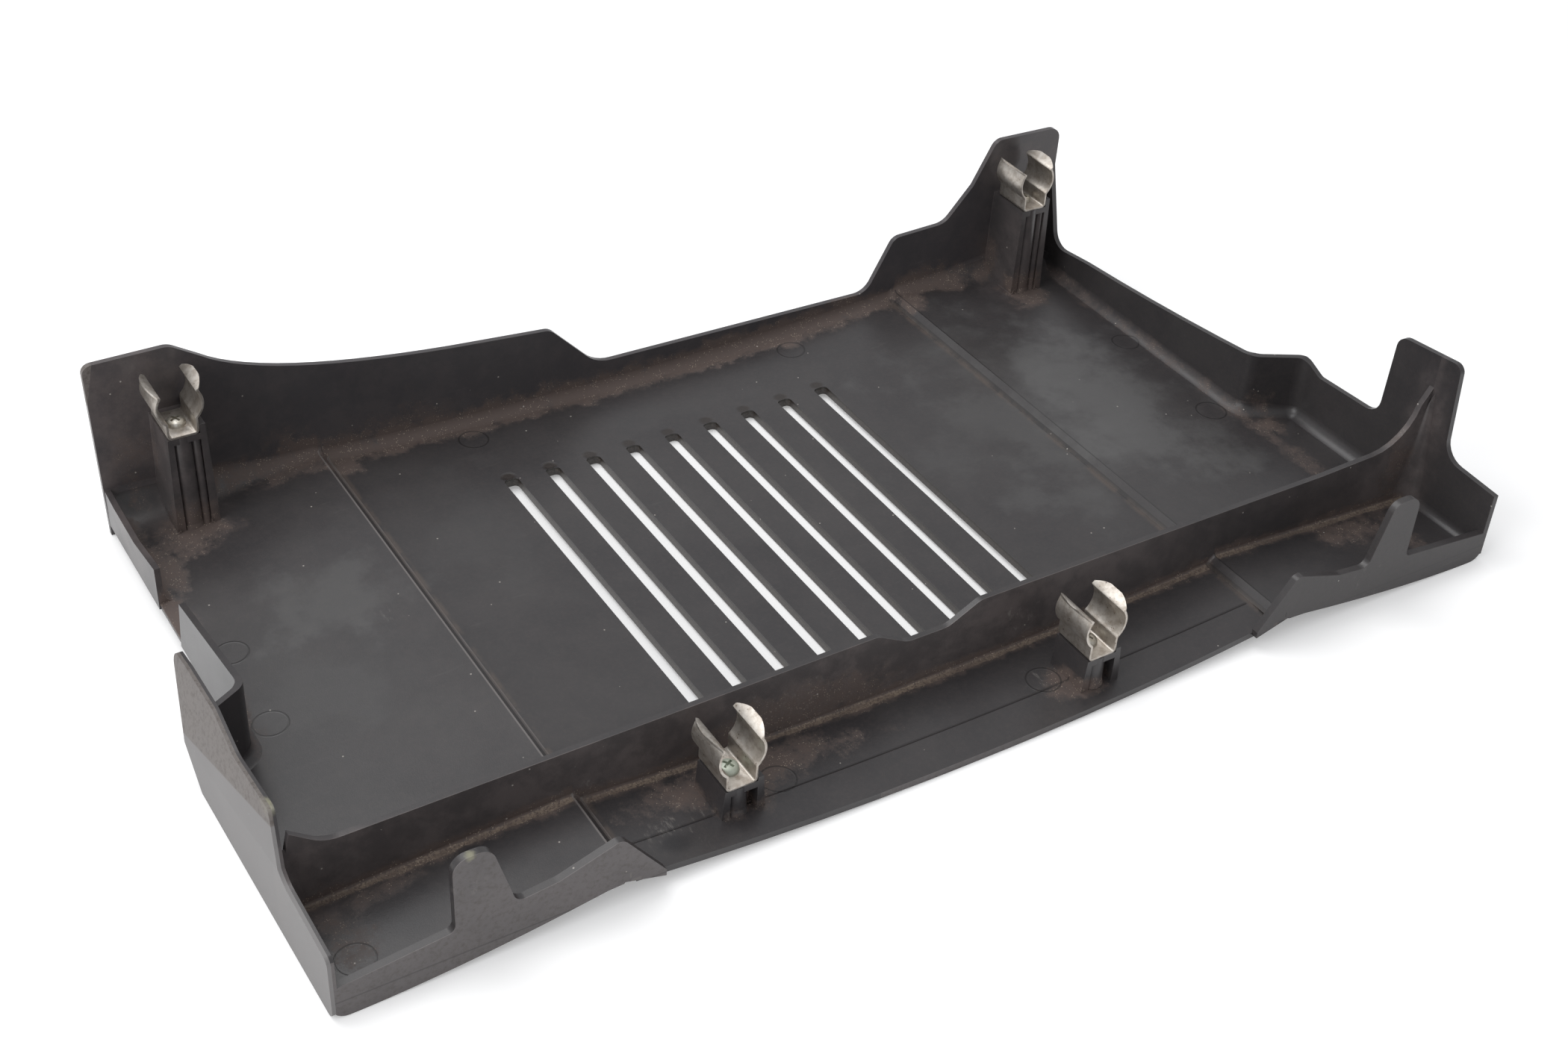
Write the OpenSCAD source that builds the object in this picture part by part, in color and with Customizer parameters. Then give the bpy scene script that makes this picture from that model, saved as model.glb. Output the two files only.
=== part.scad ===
// Moulded engine cover, resting on its outer face with the inside up.
// The front edge faces -Y, the back wall faces +Y, and the slots run along Y.

/* [Cover outline] */
// Depth from the middle of the front edge to the back of the back wall
cover_d = 291; // [286:1:306]
// Half width of the front part on the left, at the front corner
left_half = 262.2; // [258:0.1:266]
// Half width of the front part on the right
right_half = 268; // [264:0.5:272]
// Half width of the rear part
rear_half = 244.3; // [241:0.1:247]
// Thickness of the upright walls
wall_t = 2.5; // [2:0.1:3]
// Thickness of the front walls
front_t = 3.2; // [2.8:0.1:3.6]
// Thickness of the floor
floor_t = 2.8; // [2.4:0.1:3.2]
// Distance from the front edge to where the right wall starts to widen
right_jog = 132; // [128:1:137]
// Distance from the front edge to where the left wall starts to widen
left_jog = 125.5; // [123:0.5:131]
// Length, along the depth, over which a side wall widens
jog_len = 11.5; // [9:0.5:16]
// Angle by which the left wall's front part spreads towards the back
left_spread = 0.6; // [0:0.1:1.5]
// How far the middle of the front edge stands out from its own ends
front_bow = 3; // [1.5:0.5:3.5]

/* [Floor] */
// Half width of the middle panel
panel_half = 148; // [142:1:150]
// Rise of the middle panel from its centre to its edge
panel_crown = 4.9; // [3:0.1:6]
// Width of the sloping step beside the middle panel
step_w = 3.5; // [3:0.5:6]
// Height of that step
step_h = 3.6; // [3:0.1:5]
// Fall of the left side panel from the step to the widest point
left_fall = 5.8; // [5:0.2:7]
// Fall of the right side panel from the step to the widest point
right_fall = 7.4; // [6:0.2:8]
// Width of the front band of the middle panel, which slopes down
band_w = 17; // [14:1:20]
// Slope of that band, in degrees
band_angle = 5; // [3:0.5:8]
// Size of the hollow where the floor meets an upright wall
cove = 5; // [4:0.5:6]

/* [Slots] */
// Number of slots
slot_count = 9; // [5:2:11]
// Distance from one slot to the next
slot_pitch = 20; // [18:0.5:22]
// Width of a slot
slot_w = 6.8; // [5:0.1:8]
// Distance from the back of the cover to the slots
slot_back = 50.5; // [46:0.5:54]
// Distance from the front edge to the slots
slot_front = 60.5; // [54:0.5:70]
// How far the slots lie to the left of the middle panel's middle
slot_shift = 2.5; // [0:0.5:5]
// Corner radius of a slot
slot_r = 2; // [1:0.5:2.5]
// Thickness of the floor beside the slots
slot_depth = 4.1; // [3.4:0.1:4.2]
// Width of the thicker floor around the slots
slot_rim = 6; // [4:0.5:8]

/* [Inner rib] */
// Distance from the front edge to the front of the inner rib
rib_front = 45; // [43:0.5:48]
// Height of the inner rib above the floor's lowest point
rib_h = 30.9; // [26:0.1:34]
// Depth of the dip in the rib
rib_dip = 7.6; // [5:0.1:10]
// Half width of the dip at the rib's top
dip_half = 24; // [20:1:28]
// Place of the dip's middle, to the right of the middle panel's middle
dip_x = 3.5; // [0:0.5:6]

/* [Back wall] */
// Height of the two rear towers above the floor's lowest point
tower_h = 79.4; // [74:0.2:84]
// Width of a rear tower's top
tower_w = 35; // [32:1:38]
// Height of the shoulders beside the low part
shoulder_h = 39.4; // [36:0.2:44]
// Height of the low part
low_h = 14.2; // [12:0.2:18]
// Distance from the middle panel's middle to the end of the left shoulder
left_shoulder = 38; // [34:1:42]
// Distance from the middle panel's middle to the end of the right shoulder
right_shoulder = 150; // [146:0.5:154]

/* [Side walls] */
// Height of the right wall near the back
right_rear_h = 19; // [17:0.5:21]
// Height of the right wall where it starts to widen
right_jog_h = 33.5; // [31:0.5:36]
// Height of the left wall near the back
left_rear_h = 17; // [15:0.5:19]
// Height of the left wall where it starts to widen
left_jog_h = 38.3; // [35:0.1:41]
// Height of the left wall's front part
left_front_h = 41.5; // [39:0.5:44]
// Height of the fold in the left wall, above which it leans inwards, at the strap's end
fold_h = 10; // [8:0.5:14]
// Lean of the left wall above the fold, in degrees
fold_lean = 12.8; // [10:0.2:15]
// Angle by which the leaning part turns inwards towards the back
fold_turn = 2.1; // [1.5:0.1:2.5]
// Height of the left wall's edge beside the front wall
fold_front_h = 23; // [20:0.5:26]
// Width of the gap in the left wall
gap_w = 31; // [26:1:34]
// Distance from the back of the cover to the gap in the left wall
gap_back = 66.6; // [62:0.2:70]
// Length of the free strap behind the left wall's front part
strap_l = 46; // [40:1:50]
// Height of the right wall's front tower
right_tower_h = 75; // [70:0.5:80]
// Width of that tower
right_tower_w = 36; // [32:1:40]
// Height of the right wall beside its tower
right_front_h = 27.6; // [25:0.2:31]

/* [Front walls] */
// Height of a front wall at its inner end
front_inner_h = 26; // [23:0.5:28]
// Height of a front wall beside its tongue
front_mid_h = 17.2; // [15:0.2:19]
// Height of a front wall at the corner
front_outer_h = 9.8; // [8:0.2:12]
// Height of a locating tongue above the floor's lowest point
tongue_h = 46.5; // [40:0.5:50]
// Width of a tongue at its root
tongue_w = 22.5; // [20:0.5:25]
// Distance from the cover's middle to the upright edge of a tongue
tongue_x = 217.5; // [212:0.5:221]

/* [Clips] */
// Inner radius of a clip's round seat
seat_r = 9; // [8.6:0.1:9.2]
// Thickness of the clip strip
strip_t = 0.95; // [0.8:0.05:1.1]
// Width of the clip strip, along the seat
strip_w = 20; // [18:0.5:20.5]
// Outside width of a clip's base
clip_w = 13.3; // [12.5:0.1:14]
// Distance from a rear clip to the back of the cover
rear_clip_gap = 6.5; // [5:0.5:9]
// Height of the seat's axis above the underside of the clip
seat_h = 14.7; // [14:0.1:16]
// How far a clip's lip reaches out from the seat's mouth
lip_out = 3.1; // [2:0.1:3.5]
// Slope of a lip, in degrees
lip_angle = 36; // [30:1:50]
// Height of a rear clip's underside above the floor's lowest point
rear_clip_h = 51; // [48:0.5:54]
// Height of a front clip's underside above the floor's lowest point
front_clip_h = 15.5; // [14:0.5:18]
// Distance from a rear clip's middle to the side of the rear part
rear_clip_side = 29.6; // [26:0.1:34]
// Place of the left front clip's middle, from the cover's middle
left_clip_x = -99.6; // [-105:0.1:-95]
// Place of the right front clip's middle, from the cover's middle
right_clip_x = 61.6; // [58:0.1:68]
// Distance from the front edge to the left front clip
left_clip_gap = 13.2; // [12:0.1:15]
// Distance from the front edge to the right front clip
right_clip_gap = 8.6; // [8:0.1:11]

/* [Screws] */
// Diameter of a screw's head
head_d = 8.3; // [7.6:0.1:9]
// Height of a screw's head
head_h = 2.6; // [2.2:0.1:3]
// Diameter of a screw's shank
shank_d = 4; // [3.6:0.1:4.2]
// Length of a screw below its head
shank_l = 12; // [10:0.5:12.5]

/* [Hidden] */
$fn = 48;

plastic = [0.27, 0.26, 0.27];
steel = [0.74, 0.72, 0.69];
zinc = [0.66, 0.66, 0.62];

// Height of the floor's lowest point above the surface that the cover rests on
floor_h = floor_t + band_w * tan(band_angle) + 0.05;
back_y = cover_d / 2;
front_y = -cover_d / 2;
back_in_y = back_y - wall_t;
rib_y = front_y + rib_front;
rib_back_y = rib_y + wall_t;
right_jog_y = front_y + right_jog;
left_jog_y = front_y + left_jog;
left_end_y = left_jog_y - jog_len;
right_end_y = right_jog_y - jog_len;
crease_y = front_y + band_w;
gap_y = back_y - gap_back;
strap_y = left_end_y + strap_l;
strap_half = left_half + (left_end_y - front_y) * tan(left_spread);
widest = left_half + (strap_y - 15 - front_y) * tan(left_spread);
middle_x = (right_half - widest) / 2;
slot_l = cover_d - slot_back - slot_front;
mouth = 36;
neck_x = (seat_r + strip_t / 2) * cos(mouth);
neck_z = seat_h + (seat_r + strip_t / 2) * sin(mouth);
ridge_x = panel_half + step_w;
ridge_h = panel_crown + step_h;
notch_x = ridge_x + 3;
top_h = floor_h + tower_h + 20;
slack = 1;

// Points on a quarter or less of a circle, from angle a0 to angle a1
function arc(c, r, a0, a1, n = 6) =
    [for (i = [0:n]) let (a = a0 + (a1 - a0) * i / n) c + r * [cos(a), sin(a)]];

// The corner at b between a and c, rounded to radius r
function corner(a, b, c, r, n = 6) =
    let (u = (a - b) / norm(a - b), v = (c - b) / norm(c - b),
         half = acos(max(-1, min(1, u * v))) / 2,
         m = (u + v) / norm(u + v),
         centre = b + m * r / sin(half),
         p = b + u * r / tan(half) - centre,
         q = b + v * r / tan(half) - centre,
         a0 = atan2(p.y, p.x), turn = atan2(q.y, q.x) - a0,
         a1 = a0 + (turn > 180 ? turn - 360 : turn < -180 ? turn + 360 : turn))
    arc(centre, r, a0, a1, n);

// An outline [[x, y, radius], ...] with each corner rounded to its own radius
function rounded(pts) =
    let (n = len(pts))
    [for (i = [0:n - 1])
        let (a = pts[(i + n - 1) % n], b = pts[i], c = pts[(i + 1) % n])
        for (q = b.z > 0 ? corner([a.x, a.y], [b.x, b.y], [c.x, c.y], b.z) : [[b.x, b.y]]) q];

// A curve from a to c that leans towards b
function bend(a, b, c, n = 10) =
    [for (i = [0:n]) let (t = i / n) (1 - t) * (1 - t) * a + 2 * t * (1 - t) * b + t * t * c];

// Shapes drawn in X and Z, extended along Y
module along_y(y0, y1)
    translate([0, y1, 0]) rotate([90, 0, 0]) linear_extrude(y1 - y0) children();

// Shapes drawn in Y and Z, extended along X
module along_x(x0, x1)
    translate([x0, 0, 0]) rotate([90, 0, 90]) linear_extrude(x1 - x0) children();

// Height of the floor's surface at x, above its lowest point
function floor_at(x) =
    abs(x) <= panel_half ? panel_crown * pow(x / panel_half, 2)
    : abs(x) <= ridge_x ? panel_crown + step_h * (abs(x) - panel_half) / step_w
    : ridge_h - (x < 0 ? left_fall : right_fall) * (abs(x) - ridge_x) / (right_half - ridge_x);

// The floor's surface from left to right, moved down by drop
function floor_line(drop = 0) =
    concat([[-right_half, floor_h + floor_at(-right_half) - drop], [-ridge_x, floor_h + ridge_h - drop]],
           [for (i = [-12:12]) let (x = panel_half * i / 12) [x, floor_h + floor_at(x) - drop]],
           [[ridge_x, floor_h + ridge_h - drop], [right_half, floor_h + floor_at(right_half) - drop]]);

module floor_section() polygon(concat(floor_line(), reverse(floor_line(floor_t))));

function reverse(list) = [for (i = [len(list) - 1:-1:0]) list[i]];

// Everything above the underside of the floor
module above_underside()
    along_y(front_y - slack, back_y + slack)
        polygon(concat(floor_line(floor_t), [[right_half, top_h], [-right_half, top_h]]));

// One side of the plan where it widens to half, from back to front, moved inwards by d
function side_chain(d, half, jog_y) =
    let (shift = d * tan(atan2(half - rear_half, jog_len) / 2),
         start = [rear_half - d, jog_y - shift], end = [half - d, jog_y - jog_len - shift])
    concat(corner([rear_half - d, back_y], start, end, 8), corner(start, end, [half - d, front_y], 7));

function flip(list) = reverse([for (p = list) [-p.x, p.y]]);

// The front edge of the middle panel, a shallow arc from left to right
function front_arc() =
    let (half = panel_half + slack, r = (half * half + front_bow * front_bow) / 2 / front_bow,
         a = asin(half / r))
    arc([0, front_y + r], r, 270 - a, 270 + a, 24);

// The cover seen from above
module plan()
    polygon(concat(
        [[rear_half - 0.6, back_y]], side_chain(0.6, right_half, right_jog_y),
        [[right_half - 0.6, front_y], [notch_x, front_y]],
        reverse(front_arc()),
        [[-notch_x, front_y], [0.6 - left_half, front_y]],
        flip(side_chain(0.6, strap_half, left_jog_y)), [[0.6 - rear_half, back_y]]));

// One slot seen from above
module slot_plan()
    polygon(rounded([[-slot_w / 2, -slot_l, slot_r], [slot_w / 2, -slot_l, slot_r],
                     [slot_w / 2, 0, slot_r], [-slot_w / 2, 0, slot_r]]));

module slots()
    for (i = [0:slot_count - 1])
        translate([slot_pitch * (i - (slot_count - 1) / 2) - slot_shift, back_y - slot_back, -slack])
            linear_extrude(floor_h + ridge_h + 2 * slack) slot_plan();

// A thicker piece of the floor around the slots
module slot_field()
    intersection() {
        along_y(back_y - slot_back - slot_l - slot_rim, back_y - slot_back + slot_rim)
            polygon(concat(floor_line(slot_depth), reverse(floor_line(floor_t / 2))));
        translate([-slot_shift - slot_pitch * (slot_count - 1) / 2 - slot_rim, front_y, 0])
            cube([slot_pitch * (slot_count - 1) + 2 * slot_rim, cover_d, top_h]);
    }

// The floor, with its front band sloping down in the middle
module floor_plate() {
    difference() {
        union() {
            intersection() {
                along_y(front_y - slack, back_y) floor_section();
                translate([0, 0, -slack]) linear_extrude(top_h) plan();
            }
            slot_field();
        }
        slots();
        along_x(-panel_half, panel_half)
            polygon([[front_y - 2 * slack, -slack], [crease_y, -slack], [crease_y, top_h],
                     [front_y - 2 * slack, top_h]]);
    }
    intersection() {
        translate([0, crease_y, 0])
            multmatrix([[1, 0, 0, 0], [0, 1, 0, 0], [0, tan(band_angle), 1, 0]])
                along_y(-band_w - 2 * slack, 0)
                    intersection() {
                        floor_section();
                        translate([-panel_half, 0]) square([2 * panel_half, top_h]);
                    }
        translate([0, 0, -slack]) linear_extrude(top_h) plan();
    }
}

// Outline of the back wall's top, from left to right
function back_outline() =
    let (slope_x = tower_w - rear_half + 37, ls = left_shoulder, rs = right_shoulder,
         rise = [rear_half - tower_w - 15, shoulder_h + 18])
    concat(
        corner([-rear_half, 0], [-rear_half - 1, tower_h], [0, tower_h], 4),
        corner([-rear_half, tower_h], [tower_w - rear_half, tower_h],
               [tower_w - rear_half + 17, tower_h - 12], 9),
        bend([slope_x - 25, tower_h - 8], [slope_x, shoulder_h + 13], [-ls - 49, shoulder_h + 4], 14),
        corner([-ls - 49, shoulder_h + 4], [-ls, shoulder_h - 0.5], [-ls + 21, low_h], 7),
        corner([-ls, shoulder_h], [-ls + 23, low_h + 0.4], [60, low_h], 18),
        corner([60, low_h], [rs - 16, low_h - 2], [rs - 4, shoulder_h - 8], 10),
        corner([rs - 13, low_h], [rs - 1, shoulder_h], [rs + 19, shoulder_h], 6),
        corner([rs, shoulder_h], [rs + 29, shoulder_h + 0.8], rise, 10),
        [rise],
        corner(rise, [rear_half - tower_w - 3, tower_h], [rear_half, tower_h], 6),
        corner([0, tower_h], [rear_half + 1, tower_h - 0.8], [rear_half, 20], 6));

module back_wall()
    along_y(back_in_y, back_y)
        polygon(concat([for (p = back_outline()) [p.x, p.y + floor_h]],
                       [[rear_half, 0], [-rear_half, 0]]));

// A band as thick as the walls along both sides, seen from above
module side_band()
    difference() {
        polygon(concat([[rear_half, back_y]], side_chain(0, right_half, right_jog_y), [[right_half, front_y]],
                       [[-strap_half, front_y]], flip(side_chain(0, strap_half, left_jog_y)),
                       [[-rear_half, back_y]]));
        polygon(concat([[rear_half - wall_t, back_y + slack]], side_chain(wall_t, right_half, right_jog_y),
                       [[right_half - wall_t, front_y - slack]], [[wall_t - strap_half, front_y - slack]],
                       flip(side_chain(wall_t, strap_half, left_jog_y)),
                       [[wall_t - rear_half, back_y + slack]]));
    }

// Outline of the right wall's top, drawn in Y and Z from back to front
function right_outline() =
    let (tower_back = rib_y + 25, tower_front = tower_back - right_tower_w)
    concat([[back_y, tower_h - 6], [back_y - 1, tower_h - 12]],
        corner([back_y - 1, tower_h - 12], [back_y - 14, right_rear_h - 1.5],
               [back_y - 40, right_rear_h + 1], 9),
        bend([back_y - 40, right_rear_h + 1.5], [back_y - 100, right_rear_h + 6],
             [right_jog_y, right_jog_h]),
        corner([right_jog_y, right_jog_h], [right_end_y - 1, right_jog_h - 1],
               [right_end_y - 11, right_front_h], 3),
        corner([right_end_y, right_jog_h], [right_end_y - 12, right_front_h],
               [tower_back, right_front_h], 5),
        corner([right_end_y, right_front_h - 1], [tower_back + 1, right_front_h + 2],
               [tower_back, 60], 8),
        corner([tower_back, 40], [tower_back, right_tower_h - 3],
               [tower_front, right_tower_h + 1], 6),
        corner([tower_back, right_tower_h - 2], [tower_front, right_tower_h + 1],
               [tower_front - 3.6, 40], 4),
        corner([tower_front, 60], [tower_front - 4, right_front_h + 3.6],
               [front_y, right_front_h + 2.5], 10),
        [[front_y, right_front_h + 2]]);

// Outline of the left wall's top behind the point where it widens
function left_outline() = [
    [back_y, left_rear_h + 2], [back_y - 14, left_rear_h + 0.5], [back_y - 40, left_rear_h],
    [gap_y, left_rear_h + 4.5], [gap_y + 0.5, -floor_h], [gap_y - gap_w + 7, -floor_h],
    [gap_y - gap_w, left_jog_h - 12], [left_jog_y, left_jog_h], [left_end_y - 1.5, left_front_h - 2]];

module side_walls() {
    intersection() {
        translate([0, 0, -slack]) linear_extrude(top_h) side_band();
        union() {
            along_x(0, right_half + slack)
                polygon(concat([for (p = right_outline()) [p.x, p.y + floor_h]],
                               [[front_y, 0], [back_y, 0]]));
            intersection() {
                left_space(0.4);
                along_x(-strap_half + 2, 0)
                    polygon(concat([for (p = left_outline()) [p.x, p.y + floor_h]],
                                   [[left_end_y - 1.5, 0], [back_y, 0]]));
            }
        }
        above_underside();
    }
    left_front_wall();
}

// Space inside the left wall's outer face, which folds and leans inwards, moved to the right by d
module left_space(d)
    translate([d - left_half, front_y, 0]) {
        intersection() {
            rotate([0, 0, left_spread]) translate([0, -slack, -slack]) cube([left_half, 2 * cover_d, 2 * top_h]);
            translate([left_half - strap_half, strap_y - 17 - front_y, floor_h + fold_h])
                rotate([0, fold_lean, -fold_turn]) translate([0, -cover_d, -top_h])
                cube([left_half, 2 * cover_d, 2 * top_h]);
        }
    }

// Outline of the left front wall and of the strap behind it, drawn in Y and Z
function left_front_outline() =
    concat(
        corner([strap_y - 38, -floor_h], [strap_y, left_front_h - 7], [strap_y - 15, left_front_h - 4], 3),
        corner([strap_y - 4, left_front_h - 7], [strap_y - 14, left_front_h - 4.5],
               [left_end_y, left_front_h - 1], 20),
        [[left_end_y, left_front_h - 1.2]],
        corner([left_end_y, left_front_h - 1.2], [left_end_y - 24, left_front_h - 3.2],
               [rib_y + 10, left_front_h + 1], 30),
        corner([left_end_y - 24, left_front_h - 3], [rib_y + 10, left_front_h + 1.5],
               [rib_y - 8, fold_front_h + 3.5], 6),
        corner([rib_y + 6, left_front_h], [rib_y - 8, fold_front_h + 3.5], [front_y, fold_front_h + 1], 12),
        corner([rib_y - 14, fold_front_h + 3], [front_y, fold_front_h + 1], [front_y, 0], 3),
        corner([front_y, 6], [front_y, -floor_h], [strap_y - 38, -floor_h], 4),
        [[strap_y - 38, -floor_h]]);

module left_front_wall()
    intersection() {
        difference() {
            left_space(0);
            left_space(wall_t);
        }
        along_x(-strap_half - slack, -rear_half)
            polygon([for (p = left_front_outline()) [p.x, p.y + floor_h]]);
    }

// Outline of the inner rib's top, from left to right
function rib_outline() =
    let (low = rib_h - rib_dip, end = left_half - 6)
    concat(
        [[-end, rib_h + 8]],
        corner([-end, rib_h + 8], [-end + 12, rib_h - 1.5], [-end + 60, rib_h - 0.7], 16),
        [[-end + 60, rib_h - 0.8]],
        corner([-100, rib_h], [dip_x - dip_half, rib_h + 0.3], [dip_x - dip_half + 13, low], 8),
        corner([dip_x - dip_half, rib_h], [dip_x - dip_half + 14, low], [dip_x, low], 10),
        corner([dip_x, low], [dip_x + dip_half - 15, low], [dip_x + dip_half, rib_h], 10),
        corner([dip_x + dip_half - 14, low], [dip_x + dip_half, rib_h + 0.3], [100, rib_h], 8),
        [[right_half - 60, rib_h]],
        corner([right_half - 60, rib_h], [right_half - 11, rib_h + 1.5], [right_half - 3, right_tower_h], 24),
        [[right_half - wall_t / 2, right_tower_h - 14]]);

module inner_rib()
    intersection() {
        along_y(rib_y, rib_back_y)
            polygon(concat([for (p = rib_outline()) [p.x, p.y + floor_h]],
                           [[right_half - wall_t / 2, 0], [1 - left_half, 0], [1 - left_half, 20]]));
        above_underside();
    }

// Height of a front wall's top at x, beside the tongue
function front_top(x, half) =
    let (root = tongue_x - tongue_w) front_mid_h - (front_mid_h - front_outer_h) * (x - root) / (half - root);

// One front wall with its locating tongue, on a side of the given half width, drawn in X and Z
function front_outline(half) =
    let (root = tongue_x - tongue_w, inner = notch_x - 17, low_x = (notch_x + root) / 2 + 4.5)
    concat(
        [[inner, floor_at(inner)]],
        corner([inner, 8], [notch_x + 0.5, front_inner_h + 1], [low_x, 19], 4),
        corner([notch_x, front_inner_h], [low_x, 19], [root, front_mid_h], 12),
        corner([low_x, 19], [root, front_mid_h], [root + 8.5, tongue_h], 4),
        corner([root, 20], [root + 8.5, tongue_h], [tongue_x, tongue_h], 6),
        corner([root + 8, tongue_h], [tongue_x, tongue_h], [tongue_x, 20], 6),
        corner([tongue_x, tongue_h], [tongue_x, front_top(tongue_x, half)], [half, front_outer_h], 3),
        [[half, front_outer_h]],
        corner([half, 2], [half, -floor_h], [notch_x, -floor_h], 6),
        bend([half - 10, -floor_h], [half - 53, 1 - floor_h], [notch_x, 6.3]),
        [[inner, floor_at(inner) - floor_t]]);

module front_walls() {
    along_y(front_y, front_y + front_t) {
        polygon([for (p = front_outline(right_half)) [p.x, p.y + floor_h]]);
        polygon([for (p = front_outline(left_half)) [-p.x, p.y + floor_h]]);
    }
}

// An upright post that carries a clip: two side plates, a web behind, and a cap
module post(x, y, h, depth, tab) {
    plate = 2.4;
    half = clip_w / 2 + 0.2;
    base = floor_at(x) - slack;
    foot = 1.2;
    translate([x, 0, floor_h])
        difference() {
            union() {
                along_y(y, y + depth) {
                    polygon([[-half, h], [-half + plate, h], [-half + plate, base],
                             [-half - foot, base]]);
                    polygon([[half, h + tab], [half + plate, h + tab], [half + plate + foot, base],
                             [half, base]]);
                }
                along_y(y + depth * 0.3, y + depth)
                    polygon([[-half, h], [half + slack, h], [half + slack, base], [-half, base]]);
                along_y(y, y + depth)
                    polygon([[-half, h], [half + slack, h], [half + slack, h - 3], [-half, h - 3]]);
            }
            translate([0, y + strip_w / 2, h - shank_l - slack])
                cylinder(d = shank_d + 0.2, h = shank_l + 2 * slack);
        }
}

rear_clip_x = rear_half - rear_clip_side;
rear_clip_y = back_y - rear_clip_gap - strip_w;
left_clip_y = front_y + left_clip_gap;
right_clip_y = front_y + right_clip_gap;

module posts() {
    for (side = [-1, 1])
        post(side * rear_clip_x, rear_clip_y, rear_clip_h, back_in_y + slack / 2 - rear_clip_y, 4);
    post(left_clip_x, left_clip_y, front_clip_h, strip_w, 1.6);
    post(right_clip_x, right_clip_y, front_clip_h, strip_w, 1.6);
}

// The middle of the whole width lies at x = 0, a little to the right of the middle panel's middle
module cover()
    color(plastic) translate([-middle_x, 0, 0]) {
        floor_plate();
        back_wall();
        side_walls();
        inner_rib();
        front_walls();
        posts();
    }

// Half of the clip's strip, drawn in X and Z from the middle of its base
module strip_half() {
    half = clip_w / 2;
    low = acos((half - strip_t) / seat_r);
    outer = seat_r + strip_t;
    bend_r = 2;
    translate([-slack, 0]) square([half - bend_r + slack, strip_t]);
    translate([half - bend_r, bend_r]) intersection() {
        difference() {
            circle(r = bend_r);
            circle(r = bend_r - strip_t);
        }
        translate([0, -bend_r]) square(bend_r);
    }
    translate([half - strip_t, bend_r]) square([strip_t, seat_h - outer * sin(low) - bend_r + 0.5]);
    translate([0, seat_h]) intersection() {
        difference() {
            circle(r = outer);
            circle(r = seat_r);
        }
        polygon([[0, 0], 20 * [cos(low), -sin(low)], [20, 0], 20 * [cos(mouth), sin(mouth)]]);
    }
    translate([neck_x, neck_z]) rotate(lip_angle) translate([-0.3, -strip_t / 2])
        square([lip_out / cos(lip_angle) + 1, strip_t]);
}

// A bent spring clip, open at the top, standing on the origin and reaching along +Y
module clip() {
    lip_r = (strip_w * strip_w / 4 + lip_out * lip_out) / 2 / lip_out;
    difference() {
        for (side = [0, 1])
            mirror([side, 0, 0]) intersection() {
                along_y(0, strip_w) strip_half();
                union() {
                    translate([-slack, 0, 0]) cube([20, strip_w, neck_z]);
                    translate([neck_x + lip_out - lip_r, strip_w / 2, 0])
                        cylinder(r = lip_r + 0.6, h = 2 * seat_h);
                }
            }
        translate([0, strip_w / 2, -slack]) cylinder(d = shank_d + 0.4, h = strip_t + 2 * slack);
    }
}

// A pan head screw whose head rests at z = 0
module screw() {
    dome_r = (head_d * head_d / 4 + head_h * head_h) / 2 / head_h;
    difference() {
        union() {
            translate([0, 0, -shank_l]) cylinder(d = shank_d, h = shank_l + 0.5);
            intersection() {
                cylinder(d = head_d, h = head_h);
                translate([0, 0, head_h - dome_r]) sphere(r = dome_r);
            }
        }
        for (a = [0, 90])
            rotate([0, 0, a]) translate([-2.2, -0.5, head_h - 1.4]) cube([4.4, 1, 2]);
    }
}

rear_z = floor_h + rear_clip_h;
front_z = floor_h + front_clip_h;

// Where each clip stands
rear_left = [-rear_clip_x - middle_x, rear_clip_y, rear_z];
rear_right = [rear_clip_x - middle_x, rear_clip_y, rear_z];
front_left = [left_clip_x - middle_x, left_clip_y, front_z];
front_right = [right_clip_x - middle_x, right_clip_y, front_z];

module rear_left_clip() color(steel) translate(rear_left) clip();
module rear_right_clip() color(steel) translate(rear_right) clip();
module front_left_clip() color(steel) translate(front_left) clip();
module front_right_clip() color(steel) translate(front_right) clip();

// A screw in the middle of the clip that stands at p
module screw_at(p) color(zinc) translate([p.x, p.y + strip_w / 2, p.z + strip_t]) screw();

module rear_left_screw() screw_at(rear_left);
module rear_right_screw() screw_at(rear_right);
module front_left_screw() screw_at(front_left);
module front_right_screw() screw_at(front_right);

cover();
rear_left_clip();
rear_right_clip();
front_left_clip();
front_right_clip();
rear_left_screw();
rear_right_screw();
front_left_screw();
front_right_screw();
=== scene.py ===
"""A moulded plastic engine cover, lying on its outer face, with four spring clips screwed to its posts."""

import math

import bmesh
import bpy
from mathutils import Matrix, Vector


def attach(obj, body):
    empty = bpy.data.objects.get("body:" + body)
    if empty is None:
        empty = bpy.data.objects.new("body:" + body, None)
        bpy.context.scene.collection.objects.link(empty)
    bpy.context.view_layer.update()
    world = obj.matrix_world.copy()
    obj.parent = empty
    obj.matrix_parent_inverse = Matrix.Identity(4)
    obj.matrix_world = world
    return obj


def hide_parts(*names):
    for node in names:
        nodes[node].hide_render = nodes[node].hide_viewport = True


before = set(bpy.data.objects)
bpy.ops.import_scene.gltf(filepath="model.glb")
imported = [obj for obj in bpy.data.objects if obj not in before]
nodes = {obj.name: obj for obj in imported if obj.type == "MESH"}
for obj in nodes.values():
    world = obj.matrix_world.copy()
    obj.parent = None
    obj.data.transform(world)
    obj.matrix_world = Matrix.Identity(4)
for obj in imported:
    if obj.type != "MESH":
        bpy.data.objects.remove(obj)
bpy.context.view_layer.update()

MM = 0.001

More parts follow.
